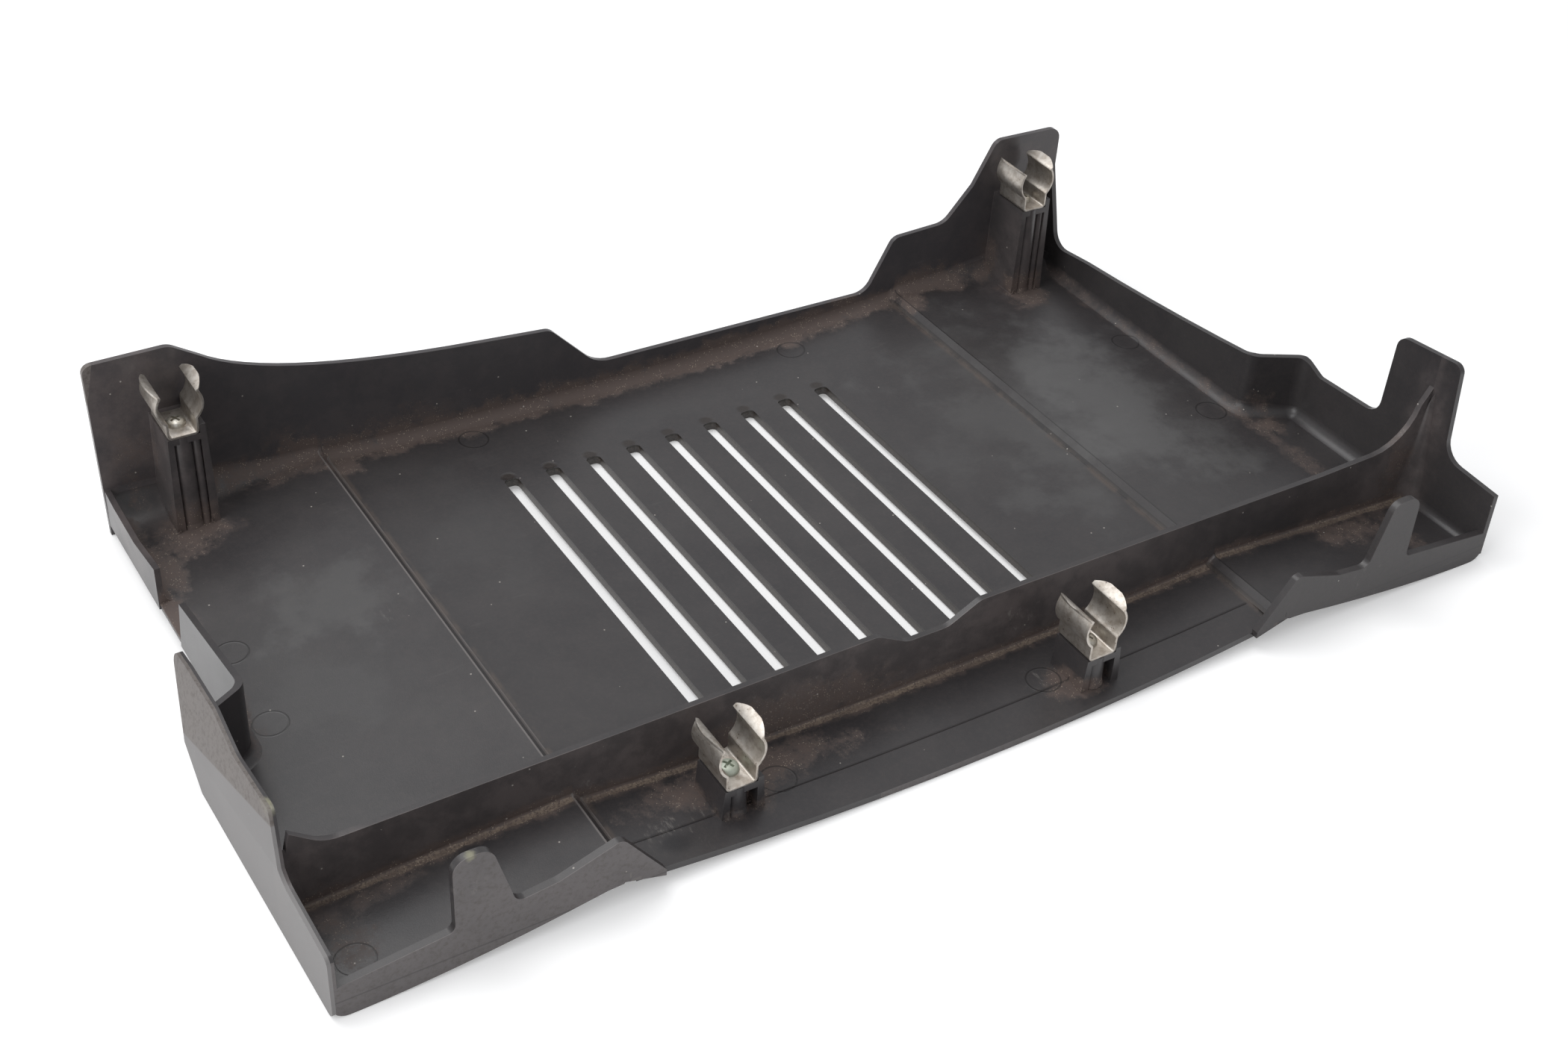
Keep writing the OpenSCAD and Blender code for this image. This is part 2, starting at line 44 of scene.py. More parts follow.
# Places on the cover, in millimetres, as the solids have them
MIDDLE = -2.14
FLOOR_LOW = 4.337
PANEL_HALF, PANEL_CROWN = 148.0, 4.9
STEP_FOOT, STEP_IN, STEP_X, STEP_OUT = 147.3, 147.6, 150.0, 152.2
RIDGE_X, RIDGE_H = 151.5, 8.5
RIGHT_HALF = 268.0
LEFT_FALL, RIGHT_FALL = 5.8, 7.4
BACK_IN, FRONT_IN = 143.0, -142.3
LEFT_IN, RIGHT_IN = -243.9, 239.7
RIGHT_FRONT_IN = 263.3
RIB_FRONT, RIB_BACK = -100.5, -98.0
REAR_POSTS = ((-216.84, 129.0, 55.337), (212.56, 129.0, 55.337))
FRONT_POSTS = ((-101.74, -122.3, 19.837), (59.46, -126.9, 19.837))
POST_HALF_X, POST_HALF_Y = 6.85, 10.0

# Just inside the outer faces of the front and back walls, the right wall's front half, the side walls'
# rear halves, which end at SIDE_STEP_Y, and the left wall's front half, which leans inwards over its fold
FRONT_OUT, BACK_OUT, RIGHT_OUT = -145.2, 145.2, 265.6
REAR_LEFT_OUT, REAR_RIGHT_OUT, SIDE_STEP_Y = -246.1, 241.9, -9.0
LEFT_OUT, LEFT_DRIFT = -264.6, 0.011
FOLD_Z, FOLD_SLOPE, FOLD_LEAN = 12.2, 0.21, 0.227

# The painted change of shade along the left wall's fold: from where to where it rises at y = 0, and its
# slope
FOLD_SHADE_LOW, FOLD_SHADE_HIGH, FOLD_SHADE_SLOPE = 14.2, 15.0, 0.306

# The photograph's camera, fitted to the cover's slots, corners and posts: millimetres and degrees
CAMERA_AT = (-405.12, -605.92, 558.61)
CAMERA_TURN, CAMERA_TILT, CAMERA_ROLL = 33.586, 36.692, 3.518
PHOTO_WIDTH, FOCAL_PIXELS = 2100, 2877.3
SENSOR_WIDTH = 36.0

# The studio, in metres and watts
FLOOR_HALF, FLOOR_DROP = 6.0, 0.0002
FLOOR_TONE = (0.8, 0.8, 0.8, 1)
FLOOR_GLOW = 0.28
SKY_TONE, SKY_STRENGTH = (0.97, 0.98, 1.0, 1), 0.62
LAMPS = (
    ("top_softbox", (-0.35, 0.55, 1.5), 1.3, 14.0),
    ("left_softbox", (-1.5, -0.35, 0.9), 1.0, 11.0),
)
LAMPS_AIM = (0, 0, 0.02)


def floor_at(x):
    """Height of the floor's upper surface at x."""
    across = x - MIDDLE
    far = abs(across)
    if far < PANEL_HALF:
        return FLOOR_LOW + PANEL_CROWN * (far / PANEL_HALF) ** 2
    if far < RIDGE_X:
        share = (far - PANEL_HALF) / (RIDGE_X - PANEL_HALF)
        return FLOOR_LOW + PANEL_CROWN + share * (RIDGE_H - PANEL_CROWN)
    fall = LEFT_FALL if across < 0 else RIGHT_FALL
    return FLOOR_LOW + RIDGE_H - fall * (far - RIDGE_X) / (RIGHT_HALF - RIDGE_X)


# Shader parts

class Maker:
    """Makes the nodes of one tree and links them, so that a formula reads from left to right."""

    def __init__(self, tree):
        self.tree = tree

    def feed(self, socket, value):
        """Links a socket or sets its value."""
        if isinstance(value, bpy.types.NodeSocket):
            self.tree.links.new(value, socket)
        elif hasattr(socket.default_value, "__len__"):
            value = tuple(value)
            socket.default_value = value if len(value) == len(socket.default_value) else (*value, 1.0)
        else:
            socket.default_value = value

    def make(self, kind, *values, **named):
        """A shader node with its first inputs, and others by name, linked or set."""
        node = self.tree.nodes.new("ShaderNode" + kind)
        for socket, value in zip(node.inputs, values):
            self.feed(socket, value)
        for name, value in named.items():
            self.feed(node.inputs[name], value)
        return node

    def math(self, operation, *values):
        node = self.make("Math", *values)
        node.operation = operation
        return node.outputs[0]

    def chain(self, operation, values):
        """One operation over several values, from the left."""
        total = values[0]
        for value in values[1:]:
            total = self.math(operation, total, value)
        return total

    def plus(self, *values):
        return self.chain("ADD", values)

    def times(self, *values):
        return self.chain("MULTIPLY", values)

    def most(self, *values):
        return self.chain("MAXIMUM", values)

    def minus(self, first, second):
        return self.math("SUBTRACT", first, second)

    def over(self, value, limit):
        return self.math("GREATER_THAN", value, limit)

    def under(self, value, limit):
        return self.math("LESS_THAN", value, limit)

    def size(self, value):
        return self.math("ABSOLUTE", value)

    def vector(self, operation, *values):
        node = self.make("VectorMath", *values)
        node.operation = operation
        return node.outputs["Value"] if operation in ("LENGTH", "DOT_PRODUCT") else node.outputs[0]

    def split(self, value):
        """X, Y and Z of a place."""
        return self.make("SeparateXYZ", value).outputs

    def join(self, x, y, z):
        return self.make("CombineXYZ", x, y, z).outputs[0]

    def place(self):
        """The point's place on the object, in millimetres."""
        scaled = self.make("VectorMath", self.make("TexCoord").outputs["Object"])
        scaled.operation = "SCALE"
        scaled.inputs["Scale"].default_value = 1 / MM
        return scaled.outputs[0]

    def fade(self, value, start, end):
        """0 at start, 1 at end, smooth between them. Start may be larger than end."""
        low, high, first, last = (start, end, 0.0, 1.0) if start < end else (end, start, 1.0, 0.0)
        node = self.make("MapRange", value, low, high, first, last)
        node.interpolation_type = "SMOOTHSTEP"
        return node.outputs[0]

    def noise(self, where, scale, detail, rough, seed):
        """Cloudy noise about 0.5. Each seed gives another pattern."""
        node = self.make("TexNoise", Vector=where, Scale=scale, Detail=detail, Roughness=rough)
        node.noise_dimensions = "4D"
        node.inputs["W"].default_value = seed
        return node.outputs["Fac"]

    def cells(self, where, scale):
        """How far the point is from the nearest of many scattered centres."""
        return self.make("TexVoronoi", Vector=where, Scale=scale).outputs["Distance"]

    def colour(self, share, first, second):
        """The first colour, with a share of the second over it."""
        node = self.make("Mix")
        node.data_type = "RGBA"
        for socket, value in zip((node.inputs[0], *node.inputs[6:8]), (share, first, second)):
            self.feed(socket, value)
        return node.outputs[2]

    def use(self, group, **values):
        """A node group with its inputs set by name, as its outputs."""
        node = self.tree.nodes.new("ShaderNodeGroup")
        node.node_tree = group
        for name, value in values.items():
            self.feed(node.inputs[name], value)
        return node.outputs


def new_group(name, inputs, outputs):
    """An empty shader group, its maker and the sockets inside it. inputs: names and start values."""
    group = bpy.data.node_groups.new(name, "ShaderNodeTree")
    for label, value in inputs.items():
        kind = "NodeSocketVector" if isinstance(value, tuple) else "NodeSocketFloat"
        group.interface.new_socket(name=label, in_out="INPUT", socket_type=kind).default_value = value
    for label in outputs:
        group.interface.new_socket(name=label, in_out="OUTPUT", socket_type="NodeSocketFloat")
    start, end = group.nodes.new("NodeGroupInput"), group.nodes.new("NodeGroupOutput")
    return group, Maker(group), start.outputs, end.inputs


def patch_group():
    """A soft round or drawn-out patch about a centre, broken up by noise."""
    group, m, given, out = new_group(
        "soft_patch",
        {"Place": (0, 0, 0), "Centre": (0, 0, 0), "Reach": (10, 10, 10),
         "Noise": 0.5, "Ragged": 0.7, "Strength": 1.0},
        ["Mask"])
    away = m.vector("DIVIDE", m.vector("SUBTRACT", given["Place"], given["Centre"]), given["Reach"])
    rough = m.times(m.minus(given["Noise"], 0.5), given["Ragged"])
    far = m.plus(m.vector("LENGTH", away), m.times(rough, 2.0))
    m.feed(out["Mask"], m.times(m.fade(far, 1.0, 0.25), given["Strength"]))
    return group


def height_group():
    """Height above the floor's upper surface, which crowns in the middle and falls to the sides."""
    group, m, given, out = new_group("height_above_floor", {"Place": (0, 0, 0)}, ["Height", "Across"])
    x, y, z = m.split(given["Place"])
    across = m.minus(x, MIDDLE)
    far = m.size(across)
    crown = m.times(m.math("POWER", m.math("DIVIDE", far, PANEL_HALF), 2.0), PANEL_CROWN)
    run = RIGHT_HALF - RIDGE_X
    slope = m.plus(LEFT_FALL / run, m.times(m.over(across, 0.0), (RIGHT_FALL - LEFT_FALL) / run))
    side = m.minus(RIDGE_H, m.times(m.minus(far, RIDGE_X), slope))
    inner = m.under(far, RIDGE_X)
    floor = m.plus(m.times(inner, crown), m.times(m.minus(1.0, inner), side))
    m.feed(out["Height"], m.minus(m.minus(z, FLOOR_LOW), floor))
    m.feed(out["Across"], across)
    return group


def wall_foot_group():
    """A strip along the foot of an upright wall that runs along one axis."""
    group, m, given, out = new_group(
        "foot_of_wall",
        {"Place": (0, 0, 0), "Height": 0.0, "Along": (0, 1, 0), "At": 0.0,
         "Noise": 0.5, "Reach": 12.0, "Rise": 12.0, "Strength": 1.0},
        ["Mask"])
    off = m.size(m.minus(m.vector("DOT_PRODUCT", given["Place"], given["Along"]), given["At"]))
    gap = m.math("DIVIDE", off, given["Reach"])
    up = m.math("DIVIDE", m.size(given["Height"]), given["Rise"])
    ragged = m.times(m.minus(given["Noise"], 0.5), 1.8)
    m.feed(out["Mask"], m.times(m.fade(m.plus(gap, up, ragged), 1.15, 0.2), given["Strength"]))
    return group


def pin_group():
    """The faint round witness mark of an ejector pin: how near the point is to its rim."""
    group, m, given, out = new_group(
        "pin_mark", {"Place": (0, 0, 0), "Centre": (0, 0, 0), "Radius": 6.5}, ["Rim"])
    away = m.vector("LENGTH", m.vector("SUBTRACT", given["Place"], given["Centre"]))
    m.feed(out["Rim"], m.fade(m.size(m.minus(away, given["Radius"])), 0.6, 0.1))
    return group


def dust_group():
    """Breaks a patch of dust up into fine speckle, with pale grains in it."""
    group, m, given, out = new_group(
        "settled_dust", {"Place": (0, 0, 0), "Mask": 0.0}, ["Dust", "Grains"])
    fine = m.noise(given["Place"], 1.1, 4.0, 0.7, 1.0)
    blot = m.noise(given["Place"], 0.22, 4.0, 0.6, 5.0)
    mixed = m.plus(m.times(fine, 0.5), m.times(blot, 0.5))
    wide = m.plus(m.times(m.minus(mixed, 0.5), 1.7), given["Mask"])
    m.feed(out["Dust"], m.times(m.fade(wide, 0.15, 0.95), m.fade(given["Mask"], 0.0, 0.3)))
    near = m.cells(given["Place"], 1.25)
    some = m.over(m.noise(given["Place"], 0.5, 2.0, 0.6, 9.0), 0.54)
    m.feed(out["Grains"], m.times(m.fade(near, 0.34, 0.16), some, m.fade(given["Mask"], 0.2, 0.75)))
    return group


def speck_group():
    """Small pale specks scattered over everything, and thin rubbed scratches."""
    group, m, given, out = new_group("specks", {"Place": (0, 0, 0)}, ["Specks", "Rubbed"])
    near = m.cells(given["Place"], 0.11)
    few = m.over(m.noise(given["Place"], 0.05, 1.0, 0.5, 21.0), 0.47)
    m.feed(out["Specks"], m.times(m.fade(near, 0.05, 0.026), few))
    stretched = m.vector("MULTIPLY", given["Place"], (0.02, 0.3, 0.3))
    m.feed(out["Rubbed"], m.fade(m.noise(stretched, 1.0, 6.0, 0.75, 2.0), 0.6, 0.75))
    return group


PATCH = patch_group()
ABOVE_FLOOR = height_group()
WALL_FOOT = wall_foot_group()
PIN = pin_group()
DUST = dust_group()
SPECKS = speck_group()


def start_material(name):
    """An empty material and the maker of its nodes."""
    material = bpy.data.materials.new(name)
    material.use_nodes = True
    material.node_tree.nodes.clear()
    return material, Maker(material.node_tree)


def finish_material(m, colour, rough, normal, metallic=0.0):
    """Closes a material's tree with its surface."""
    shader = m.make("BsdfPrincipled", colour, Roughness=rough, Metallic=metallic, Normal=normal)
    m.make("OutputMaterial", shader.outputs[0])


def bump(m, height, distance, strength):
    """Normals for a relief. distance: how high 1 stands, in metres."""
    return m.make("Bump", Height=height, Distance=distance, Strength=strength).outputs[0]


# Wear and dirt on the plastic, and among the hazes a painted reflection. Each patch has a centre and a reach
# in millimetres, and a strength.

BROWN_FILMS = (
    ((-216, 128, 26), (24, 26, 60), 0.75),
    ((212, 128, 26), (24, 26, 60), 0.6),
    ((-236, 144, 60), (50, 8, 46), 0.8),
    ((-244, 110, 30), (8, 60, 40), 0.6),
    ((236, 144, 60), (50, 8, 46), 0.6),
    ((-252, -107, 24), (32, 12, 30), 0.9),
    ((255, -102, 30), (34, 16, 44), 0.9),
)
# Pale hazy patches on the floor: dust haze, and on the right a painted reflection of the light
HAZE_AND_SHEEN_SPOTS = (
    ((-186, 45, 11), (34, 30, 12), 0.85),
    ((-206, 0, 10), (40, 34, 12), 0.42),
    ((-120, 60, 8), (30, 60, 12), 0.3),
    ((120, 20, 8), (60, 70, 12), 0.35),
    ((188, 20, 9), (44, 100, 14), 0.7),
    ((165, 20, 9), (80, 120, 16), 0.45),
    ((0, 112, 5), (70, 12, 10), 0.25),
)
DUSTY = (
    ((-219, 116, 12), (24, 22, 16), 0.85),
    ((-238, 96, 12), (12, 34, 16), 0.75),
    ((-168, 137, 16), (34, 12, 24), 0.7),
    ((-232, 139, 34), (18, 10, 34), 0.5),
    ((-112, 141, 14), (62, 9, 20), 0.5),
    ((-146, 133, 13), (14, 16, 10), 1.0),
    ((212, 116, 12), (20, 20, 14), 0.95),
    ((214, 139, 22), (30, 10, 22), 0.6),
    ((152, 132, 13), (12, 18, 9), 0.9),
    ((244, -30, 12), (14, 20, 14), 0.85),
    ((252, -96, 26), (20, 10, 34), 0.75),
    ((-92, -114, 6), (78, 17, 6), 0.9),
    ((-98, -124, 6), (24, 16, 8), 0.8),
    ((-60, -101, 14), (70, 6, 18), 0.75),
    ((55, -130, 6), (24, 17, 7), 0.95),
    ((224, -112, 10), (38, 14, 5), 0.85),
    ((-232, -107, 12), (26, 8, 14), 0.6),
    ((-196, -138, 8), (60, 7, 6), 0.45),
    ((-250, -120, 14), (16, 30, 14), 0.7),
)
SCRAPES = (
    ((-122, -130, 8), (20, 14, 8), 0.9),
    ((-62, -100.5, 20), (34, 5, 12), 0.6),
    ((44, -101, 18), (14, 5, 14), 0.9),
    ((40, -122, 8), (10, 12, 14), 0.8),
    ((196, -140, 16), (22, 8, 16), 0.5),
    ((-150, -101, 10), (15, 7, 8), 1.0),
    ((-172, 22, 9), (7, 15, 5), 0.5),
    ((-216, -146, 36), (14, 6, 16), 0.5),
)
CHIPS = (
    ((-261.0, -88.0, 47.0), (4, 6, 4), 1.0),
    ((-212.7, -144.5, 50.3), (2.4, 3, 2), 1.0),
)
CLEAN_SPOT = ((-130.1, -134.8, 7.4), (9, 6, 5), 1.0)
# A darker stretch at the flange's left end
DARK_FLANGE_END = ((-204, -124, 7.5), (64, 26, 6), 0.75)

# The ejector pins' marks: centre and radius in millimetres
PIN_MARKS = (
    ((-86, 129.9, 5.9), 6.6),
    ((80.8, 129.1, 5.9), 6.6),
    ((230, 58.2, 7.7), 6.6),
    ((227.7, -8.8, 7.9), 7.2),
    ((-233.3, -9.1, 8.9), 6.8),
    ((-231.9, 36.4, 8.9), 6.6),
    ((-250.1, -131.3, 8), 7),
    ((-79.8, -122.6, 5.7), 7),
    ((42.8, -123.7, 4.8), 7),
)

# The slots' field, in millimetres: how far left of the panel's middle it lies, its half width and spacing
SLOTS_LEFT, SLOTS_HALF, SLOT_SPACING = 2.5, 90.0, 20.0
SLOTS_FRONT, SLOTS_BACK = -90.0, 97.2
DENT_HALF_X, DENT_HALF_Y = 4.2, 3.4

# Lines across the front, each drawn as a painted shade line: the front walls' ledge, and the flange's fold
# with how far it runs from the middle
LEDGE_Z = 7.6
FLANGE_FOLD_Y, FLANGE_FOLD_HALF = -128.5, 146.0

# Colours of the plastic, of what lies on it, and of the shade and highlights painted on it
PLASTIC_DARK, PLASTIC_FADED = (0.024, 0.0225, 0.0245), (0.037, 0.0348, 0.0355)
PLASTIC_BLUISH, PLASTIC_CLEAN_DARK = (0.062, 0.062, 0.075), (0.014, 0.013, 0.015)
PLASTIC_RUBBED_HIGHLIGHT = (0.17, 0.165, 0.16)
FILM_BROWN, FINE_BROWN = (0.100, 0.085, 0.083), (0.080, 0.064, 0.060)
CHALK, CHALK_SPECKLE = (0.130, 0.118, 0.118), (0.07, 0.058, 0.05)
LEDGE_SHADE_LINE = (0.03, 0.028, 0.028)
HAZE_AND_SHEEN_GREY = (0.085, 0.083, 0.082)
DUST_BROWN, SAND, GRAIN = (0.092, 0.067, 0.058), (0.22, 0.172, 0.13), (0.34, 0.28, 0.22)
SCRAPED, CHIPPED = (0.22, 0.205, 0.19), (0.30, 0.29, 0.19)
SLOT_DENT, SLOT_EDGE = (0.020, 0.014, 0.011), (0.018, 0.014, 0.009)
SLOT_DARK, SLOT_BROWN = (0.040, 0.034, 0.031), (0.085, 0.068, 0.057)
FINE_LINE = (0.010, 0.009, 0.009)
# Painted shade on the right riser, a painted highlight on the left one, and dust at their feet
STEP_SHADE, STEP_HIGHLIGHT, STEP_DUST = (0.014, 0.0125, 0.0125), (0.15, 0.136, 0.13), (0.095, 0.074, 0.062)
SPECK, SCRATCH = (0.45, 0.42, 0.38), (0.20, 0.19, 0.18)
# The left wall's outer face, pale partly from chalk and dust and partly as a painted lit side
LEFT_CHALK_LIT = (0.20, 0.192, 0.19)
LEFT_DUST, LEFT_DUST_DARK = (0.145, 0.128, 0.118), (0.062, 0.048, 0.039)

# Colours of the metal pieces
STEEL_PALE, STEEL_DULL, STEEL_PIT = (0.56, 0.525, 0.48), (0.37, 0.325, 0.28), (0.11, 0.08, 0.06)
ZINC_PALE, ZINC_STAIN, ZINC_BLOOM = (0.62, 0.60, 0.55), (0.40, 0.37, 0.31), (0.50, 0.56, 0.47)


class Surface:
    """What the layers of the plastic draw on: the point's place, which face it is on, and shared noises."""

    def __init__(self, m):
        self.m = m
        self.place = m.place()
        self.x, self.y, self.z = m.split(self.place)
        above = m.use(ABOVE_FLOOR, Place=self.place)
        self.height, self.across = above["Height"], above["Across"]
        self.ragged = m.noise(self.place, 0.09, 5.0, 0.65, 3.0)
        self.cloud = m.noise(self.place, 0.04, 5.0, 0.62, 4.0)
        self.mottle = m.fade(m.noise(self.place, 0.05, 6.0, 0.72, 31.0), 0.40, 0.62)
        self.speckle = m.fade(m.noise(self.place, 0.5, 5.0, 0.75, 44.0), 0.46, 0.66)
        self.front_face = m.under(self.y, FRONT_OUT)
        self.left_face = self.outside_of_left_wall()
        self.faces_in = m.minus(1.0, m.most(self.left_face, self.front_face, self.other_outsides()))

    def outside_of_left_wall(self):
        """1 on the outer face of the left wall's front half, which leans inwards above its fold."""
        m = self.m
        middle = m.minus(LEFT_OUT, m.times(self.y, LEFT_DRIFT))
        over_fold = m.most(m.plus(m.minus(self.z, FOLD_Z), m.times(self.y, FOLD_SLOPE)), 0.0)
        return m.under(self.x, m.plus(middle, m.times(over_fold, FOLD_LEAN)))

    def other_outsides(self):
        """1 on the outer faces of the back wall, the right wall and the side walls' rear halves."""
        m = self.m
        back_and_right = m.most(m.over(self.y, BACK_OUT), m.over(self.x, RIGHT_OUT))
        sides = m.most(m.over(self.x, REAR_RIGHT_OUT), m.under(self.x, REAR_LEFT_OUT))
        return m.most(back_and_right, m.times(m.over(self.y, SIDE_STEP_Y), sides))

    def patch(self, spot, noise, ragged):
        """The mask of one patch, with an edge that a noise makes ragged."""
        centre, reach, strength = spot
        return self.m.use(PATCH, Place=self.place, Centre=centre, Reach=reach, Noise=noise, Ragged=ragged,
                          Strength=strength)["Mask"]

    def patches(self, spots, noise, ragged):
        return [self.patch(spot, noise, ragged) for spot in spots]

    def wall_foot(self, along, at, reach, rise, strength):
        """The mask of a strip at a wall's foot. along: the axis across the wall. at: its place there."""
        return self.m.use(WALL_FOOT, Place=self.place, Height=self.height, Along=along, At=at,
                          Noise=self.ragged, Reach=reach, Rise=rise, Strength=strength)["Mask"]


def faded_base(m, spot):
    """Black plastic that has faded unevenly."""
    wide = m.noise(spot.place, 0.012, 3.0, 0.55, 1.0)
    tone = m.plus(m.times(wide, 0.6), m.times(spot.cloud, 0.4))
    return m.colour(m.fade(tone, 0.3, 0.7), PLASTIC_DARK, PLASTIC_FADED)


def brown_film(m, spot, colour):
    """A thin brown film that dulls the walls more than the floor. The back wall is a little bluish."""
    on_rib = m.times(m.fade(spot.y, RIB_FRONT - 4.0, RIB_FRONT - 1.0), m.under(spot.y, RIB_FRONT + 0.3),
                     m.fade(spot.height, 0.5, 3.0))
    on_rib = m.times(on_rib, m.minus(0.85, m.times(m.fade(spot.x, 60.0, 170.0), 0.5)))
    on_back = m.times(m.over(spot.y, BACK_IN - 0.4), 0.25)
    film = m.plus(on_rib, on_back, *spot.patches(BROWN_FILMS, spot.cloud, 0.9), 0.12)
    film = m.times(m.math("MINIMUM", film, 1.0), m.plus(0.45, m.times(spot.mottle, 0.55)))
    return m.colour(film, m.colour(on_back, colour, PLASTIC_BLUISH), FILM_BROWN)


def chalk_haze_and_sheen(m, spot, colour):
    """Chalky front walls with a painted shade line at their ledge, fine brown mottling, and pale hazy places
    on the floor: dust haze, and on the right a painted reflection of the light.
    """
    left_more = m.minus(1.0, m.times(m.fade(spot.x, -100.0, 120.0), 0.85))
    chalky = m.times(m.plus(0.45, m.times(spot.cloud, 0.8)), left_more)
    chalk = m.colour(m.times(spot.speckle, 0.6), CHALK, CHALK_SPECKLE)
    colour = m.colour(m.times(spot.front_face, chalky), colour, chalk)
    # A painted shade line along the front walls' ledge
    ledge_shade = m.times(m.fade(m.size(m.minus(spot.z, LEDGE_Z)), 0.55, 0.1), spot.front_face)
    colour = m.colour(m.times(ledge_shade, 0.5), colour, LEDGE_SHADE_LINE)
    fine = m.fade(m.noise(spot.place, 0.6, 5.0, 0.75, 52.0), 0.42, 0.68)
    colour = m.colour(m.times(fine, 0.16), colour, FINE_BROWN)
    # Pale patches: dust haze, and on the right a painted reflection
    haze_and_sheen = m.plus(*spot.patches(HAZE_AND_SHEEN_SPOTS, spot.cloud, 1.6))
    return m.colour(m.times(haze_and_sheen, 0.55), colour, HAZE_AND_SHEEN_GREY)


def dust_and_sand(m, spot, colour):
    """Dust along the feet of the walls, round the posts and in the corners, and sand at the rib's foot."""
    left_foot = spot.wall_foot((1, 0, 0), LEFT_IN, reach=10.0, rise=14.0, strength=0.85)
    dirt = m.most(
        spot.wall_foot((0, 1, 0), BACK_IN, reach=12.0, rise=13.0, strength=1.0),
        m.times(left_foot, m.fade(spot.y, -60.0, 25.0)),
        spot.wall_foot((1, 0, 0), RIGHT_IN, reach=8.0, rise=7.0, strength=0.55),
        spot.wall_foot((0, 1, 0), RIB_FRONT, reach=6.5, rise=6.0, strength=0.8),
        *spot.patches(DUSTY, spot.ragged, 0.7))
    dirt = m.times(dirt, m.times(m.over(spot.height, -1.2), spot.faces_in))
    rib_line = spot.wall_foot((0, 1, 0), RIB_FRONT - 1.5, reach=2.0, rise=2.0, strength=1.0)
    rib_line = m.times(rib_line, spot.faces_in)
    dust = m.use(DUST, Place=spot.place, Mask=m.most(dirt, rib_line))
    colour = m.colour(m.times(dust["Dust"], 0.9), colour, DUST_BROWN)
    uneven = m.fade(m.noise(spot.place, 1.3, 3.0, 0.75, 61.0), 0.38, 0.56)
    sand = m.times(m.fade(rib_line, 0.15, 0.7), uneven, m.plus(0.4, m.times(spot.mottle, 0.6)))
    colour = m.colour(m.times(sand, 0.85), colour, SAND)
    return m.colour(m.times(dust["Grains"], 0.7), colour, GRAIN), dust["Dust"]


def scrapes_and_chips(m, spot, colour):
    """Whitish scrapes by the front posts and on the rib, a clean spot and a darker stretch at the flange's
    left end, and chipped rims.
    """
    wisps = m.noise(m.vector("MULTIPLY", spot.place, (0.35, 0.12, 0.2)), 1.0, 5.0, 0.75, 14.0)
    wisps = m.times(m.fade(wisps, 0.54, 0.68), m.plus(*spot.patches(SCRAPES, spot.ragged, 1.4)))
    colour = m.colour(m.times(wisps, 0.6), colour, SCRAPED)
    dark_end = m.times(spot.patch(DARK_FLANGE_END, spot.cloud, 0.7), m.under(spot.height, 1.5))
    clean_and_darker = m.most(spot.patch(CLEAN_SPOT, spot.cloud, 0.5), dark_end)
    colour = m.colour(m.times(clean_and_darker, spot.faces_in, 0.85), colour, PLASTIC_CLEAN_DARK)
    chips = m.plus(*spot.patches(CHIPS, spot.ragged, 1.2))
    return m.colour(m.times(chips, 0.6), colour, CHIPPED)


def slot_dirt(m, spot, colour):
    """Brown dirt on the slots' inner faces and along their edges, and a dark dent behind each back end."""
    from_middle = m.plus(spot.across, SLOTS_LEFT)
    in_field = m.under(m.size(from_middle), SLOTS_HALF)
    beside = m.math("WRAP", from_middle, SLOT_SPACING / 2, -SLOT_SPACING / 2)
    past = m.minus(spot.y, SLOTS_BACK)
    behind = m.join(m.math("DIVIDE", beside, DENT_HALF_X), m.math("DIVIDE", past, DENT_HALF_Y), 0.0)
    on_floor = m.under(m.size(spot.height), 1.0)
    dent = m.times(m.fade(m.vector("LENGTH", behind), 1.0, 0.45), in_field, on_floor)
    colour = m.colour(m.times(dent, 0.8), colour, SLOT_DENT)
    along = m.over(spot.y, SLOTS_FRONT)
    inner_face = m.times(in_field, m.under(spot.height, -0.5), along)
    brown = m.colour(m.fade(m.noise(spot.place, 1.4, 3.0, 0.7, 12.0), 0.45, 0.65), SLOT_DARK, SLOT_BROWN)
    colour = m.colour(m.times(inner_face, 0.85), colour, brown)
    edge = m.times(m.fade(m.size(m.plus(spot.height, 0.75)), 0.55, 0.15), in_field, along)
    return m.colour(m.times(edge, 0.8), colour, SLOT_EDGE), dent


def pin_marks(m, spot, colour):
    """The faint rings that the ejector pins left."""
    rim = m.plus(*(m.use(PIN, Place=spot.place, Centre=centre, Radius=radius)["Rim"]
                   for centre, radius in PIN_MARKS))
    return m.colour(m.times(rim, 0.7), colour, FINE_LINE), rim


def panel_steps(m, spot, colour):
    """The steps beside the middle panel: a painted highlight on the left riser, painted shade on the right
    one, with dust at both feet.
    """
    on_floor = m.under(m.size(spot.height), 1.2)
    far = m.size(spot.across)
    rise = m.times(m.over(far, STEP_IN), m.under(far, STEP_OUT), on_floor)
    right = m.over(spot.across, 0.0)
    colour = m.colour(m.times(rise, right, 0.7), colour, STEP_SHADE)
    colour = m.colour(m.times(rise, m.minus(1.0, right), 0.7), colour, STEP_HIGHLIGHT)
    foot = m.times(m.fade(m.size(m.minus(far, STEP_FOOT)), 2.2, 0.3), on_floor)
    return m.colour(m.times(foot, m.times(m.fade(spot.ragged, 0.38, 0.6), 0.6)), colour, STEP_DUST)


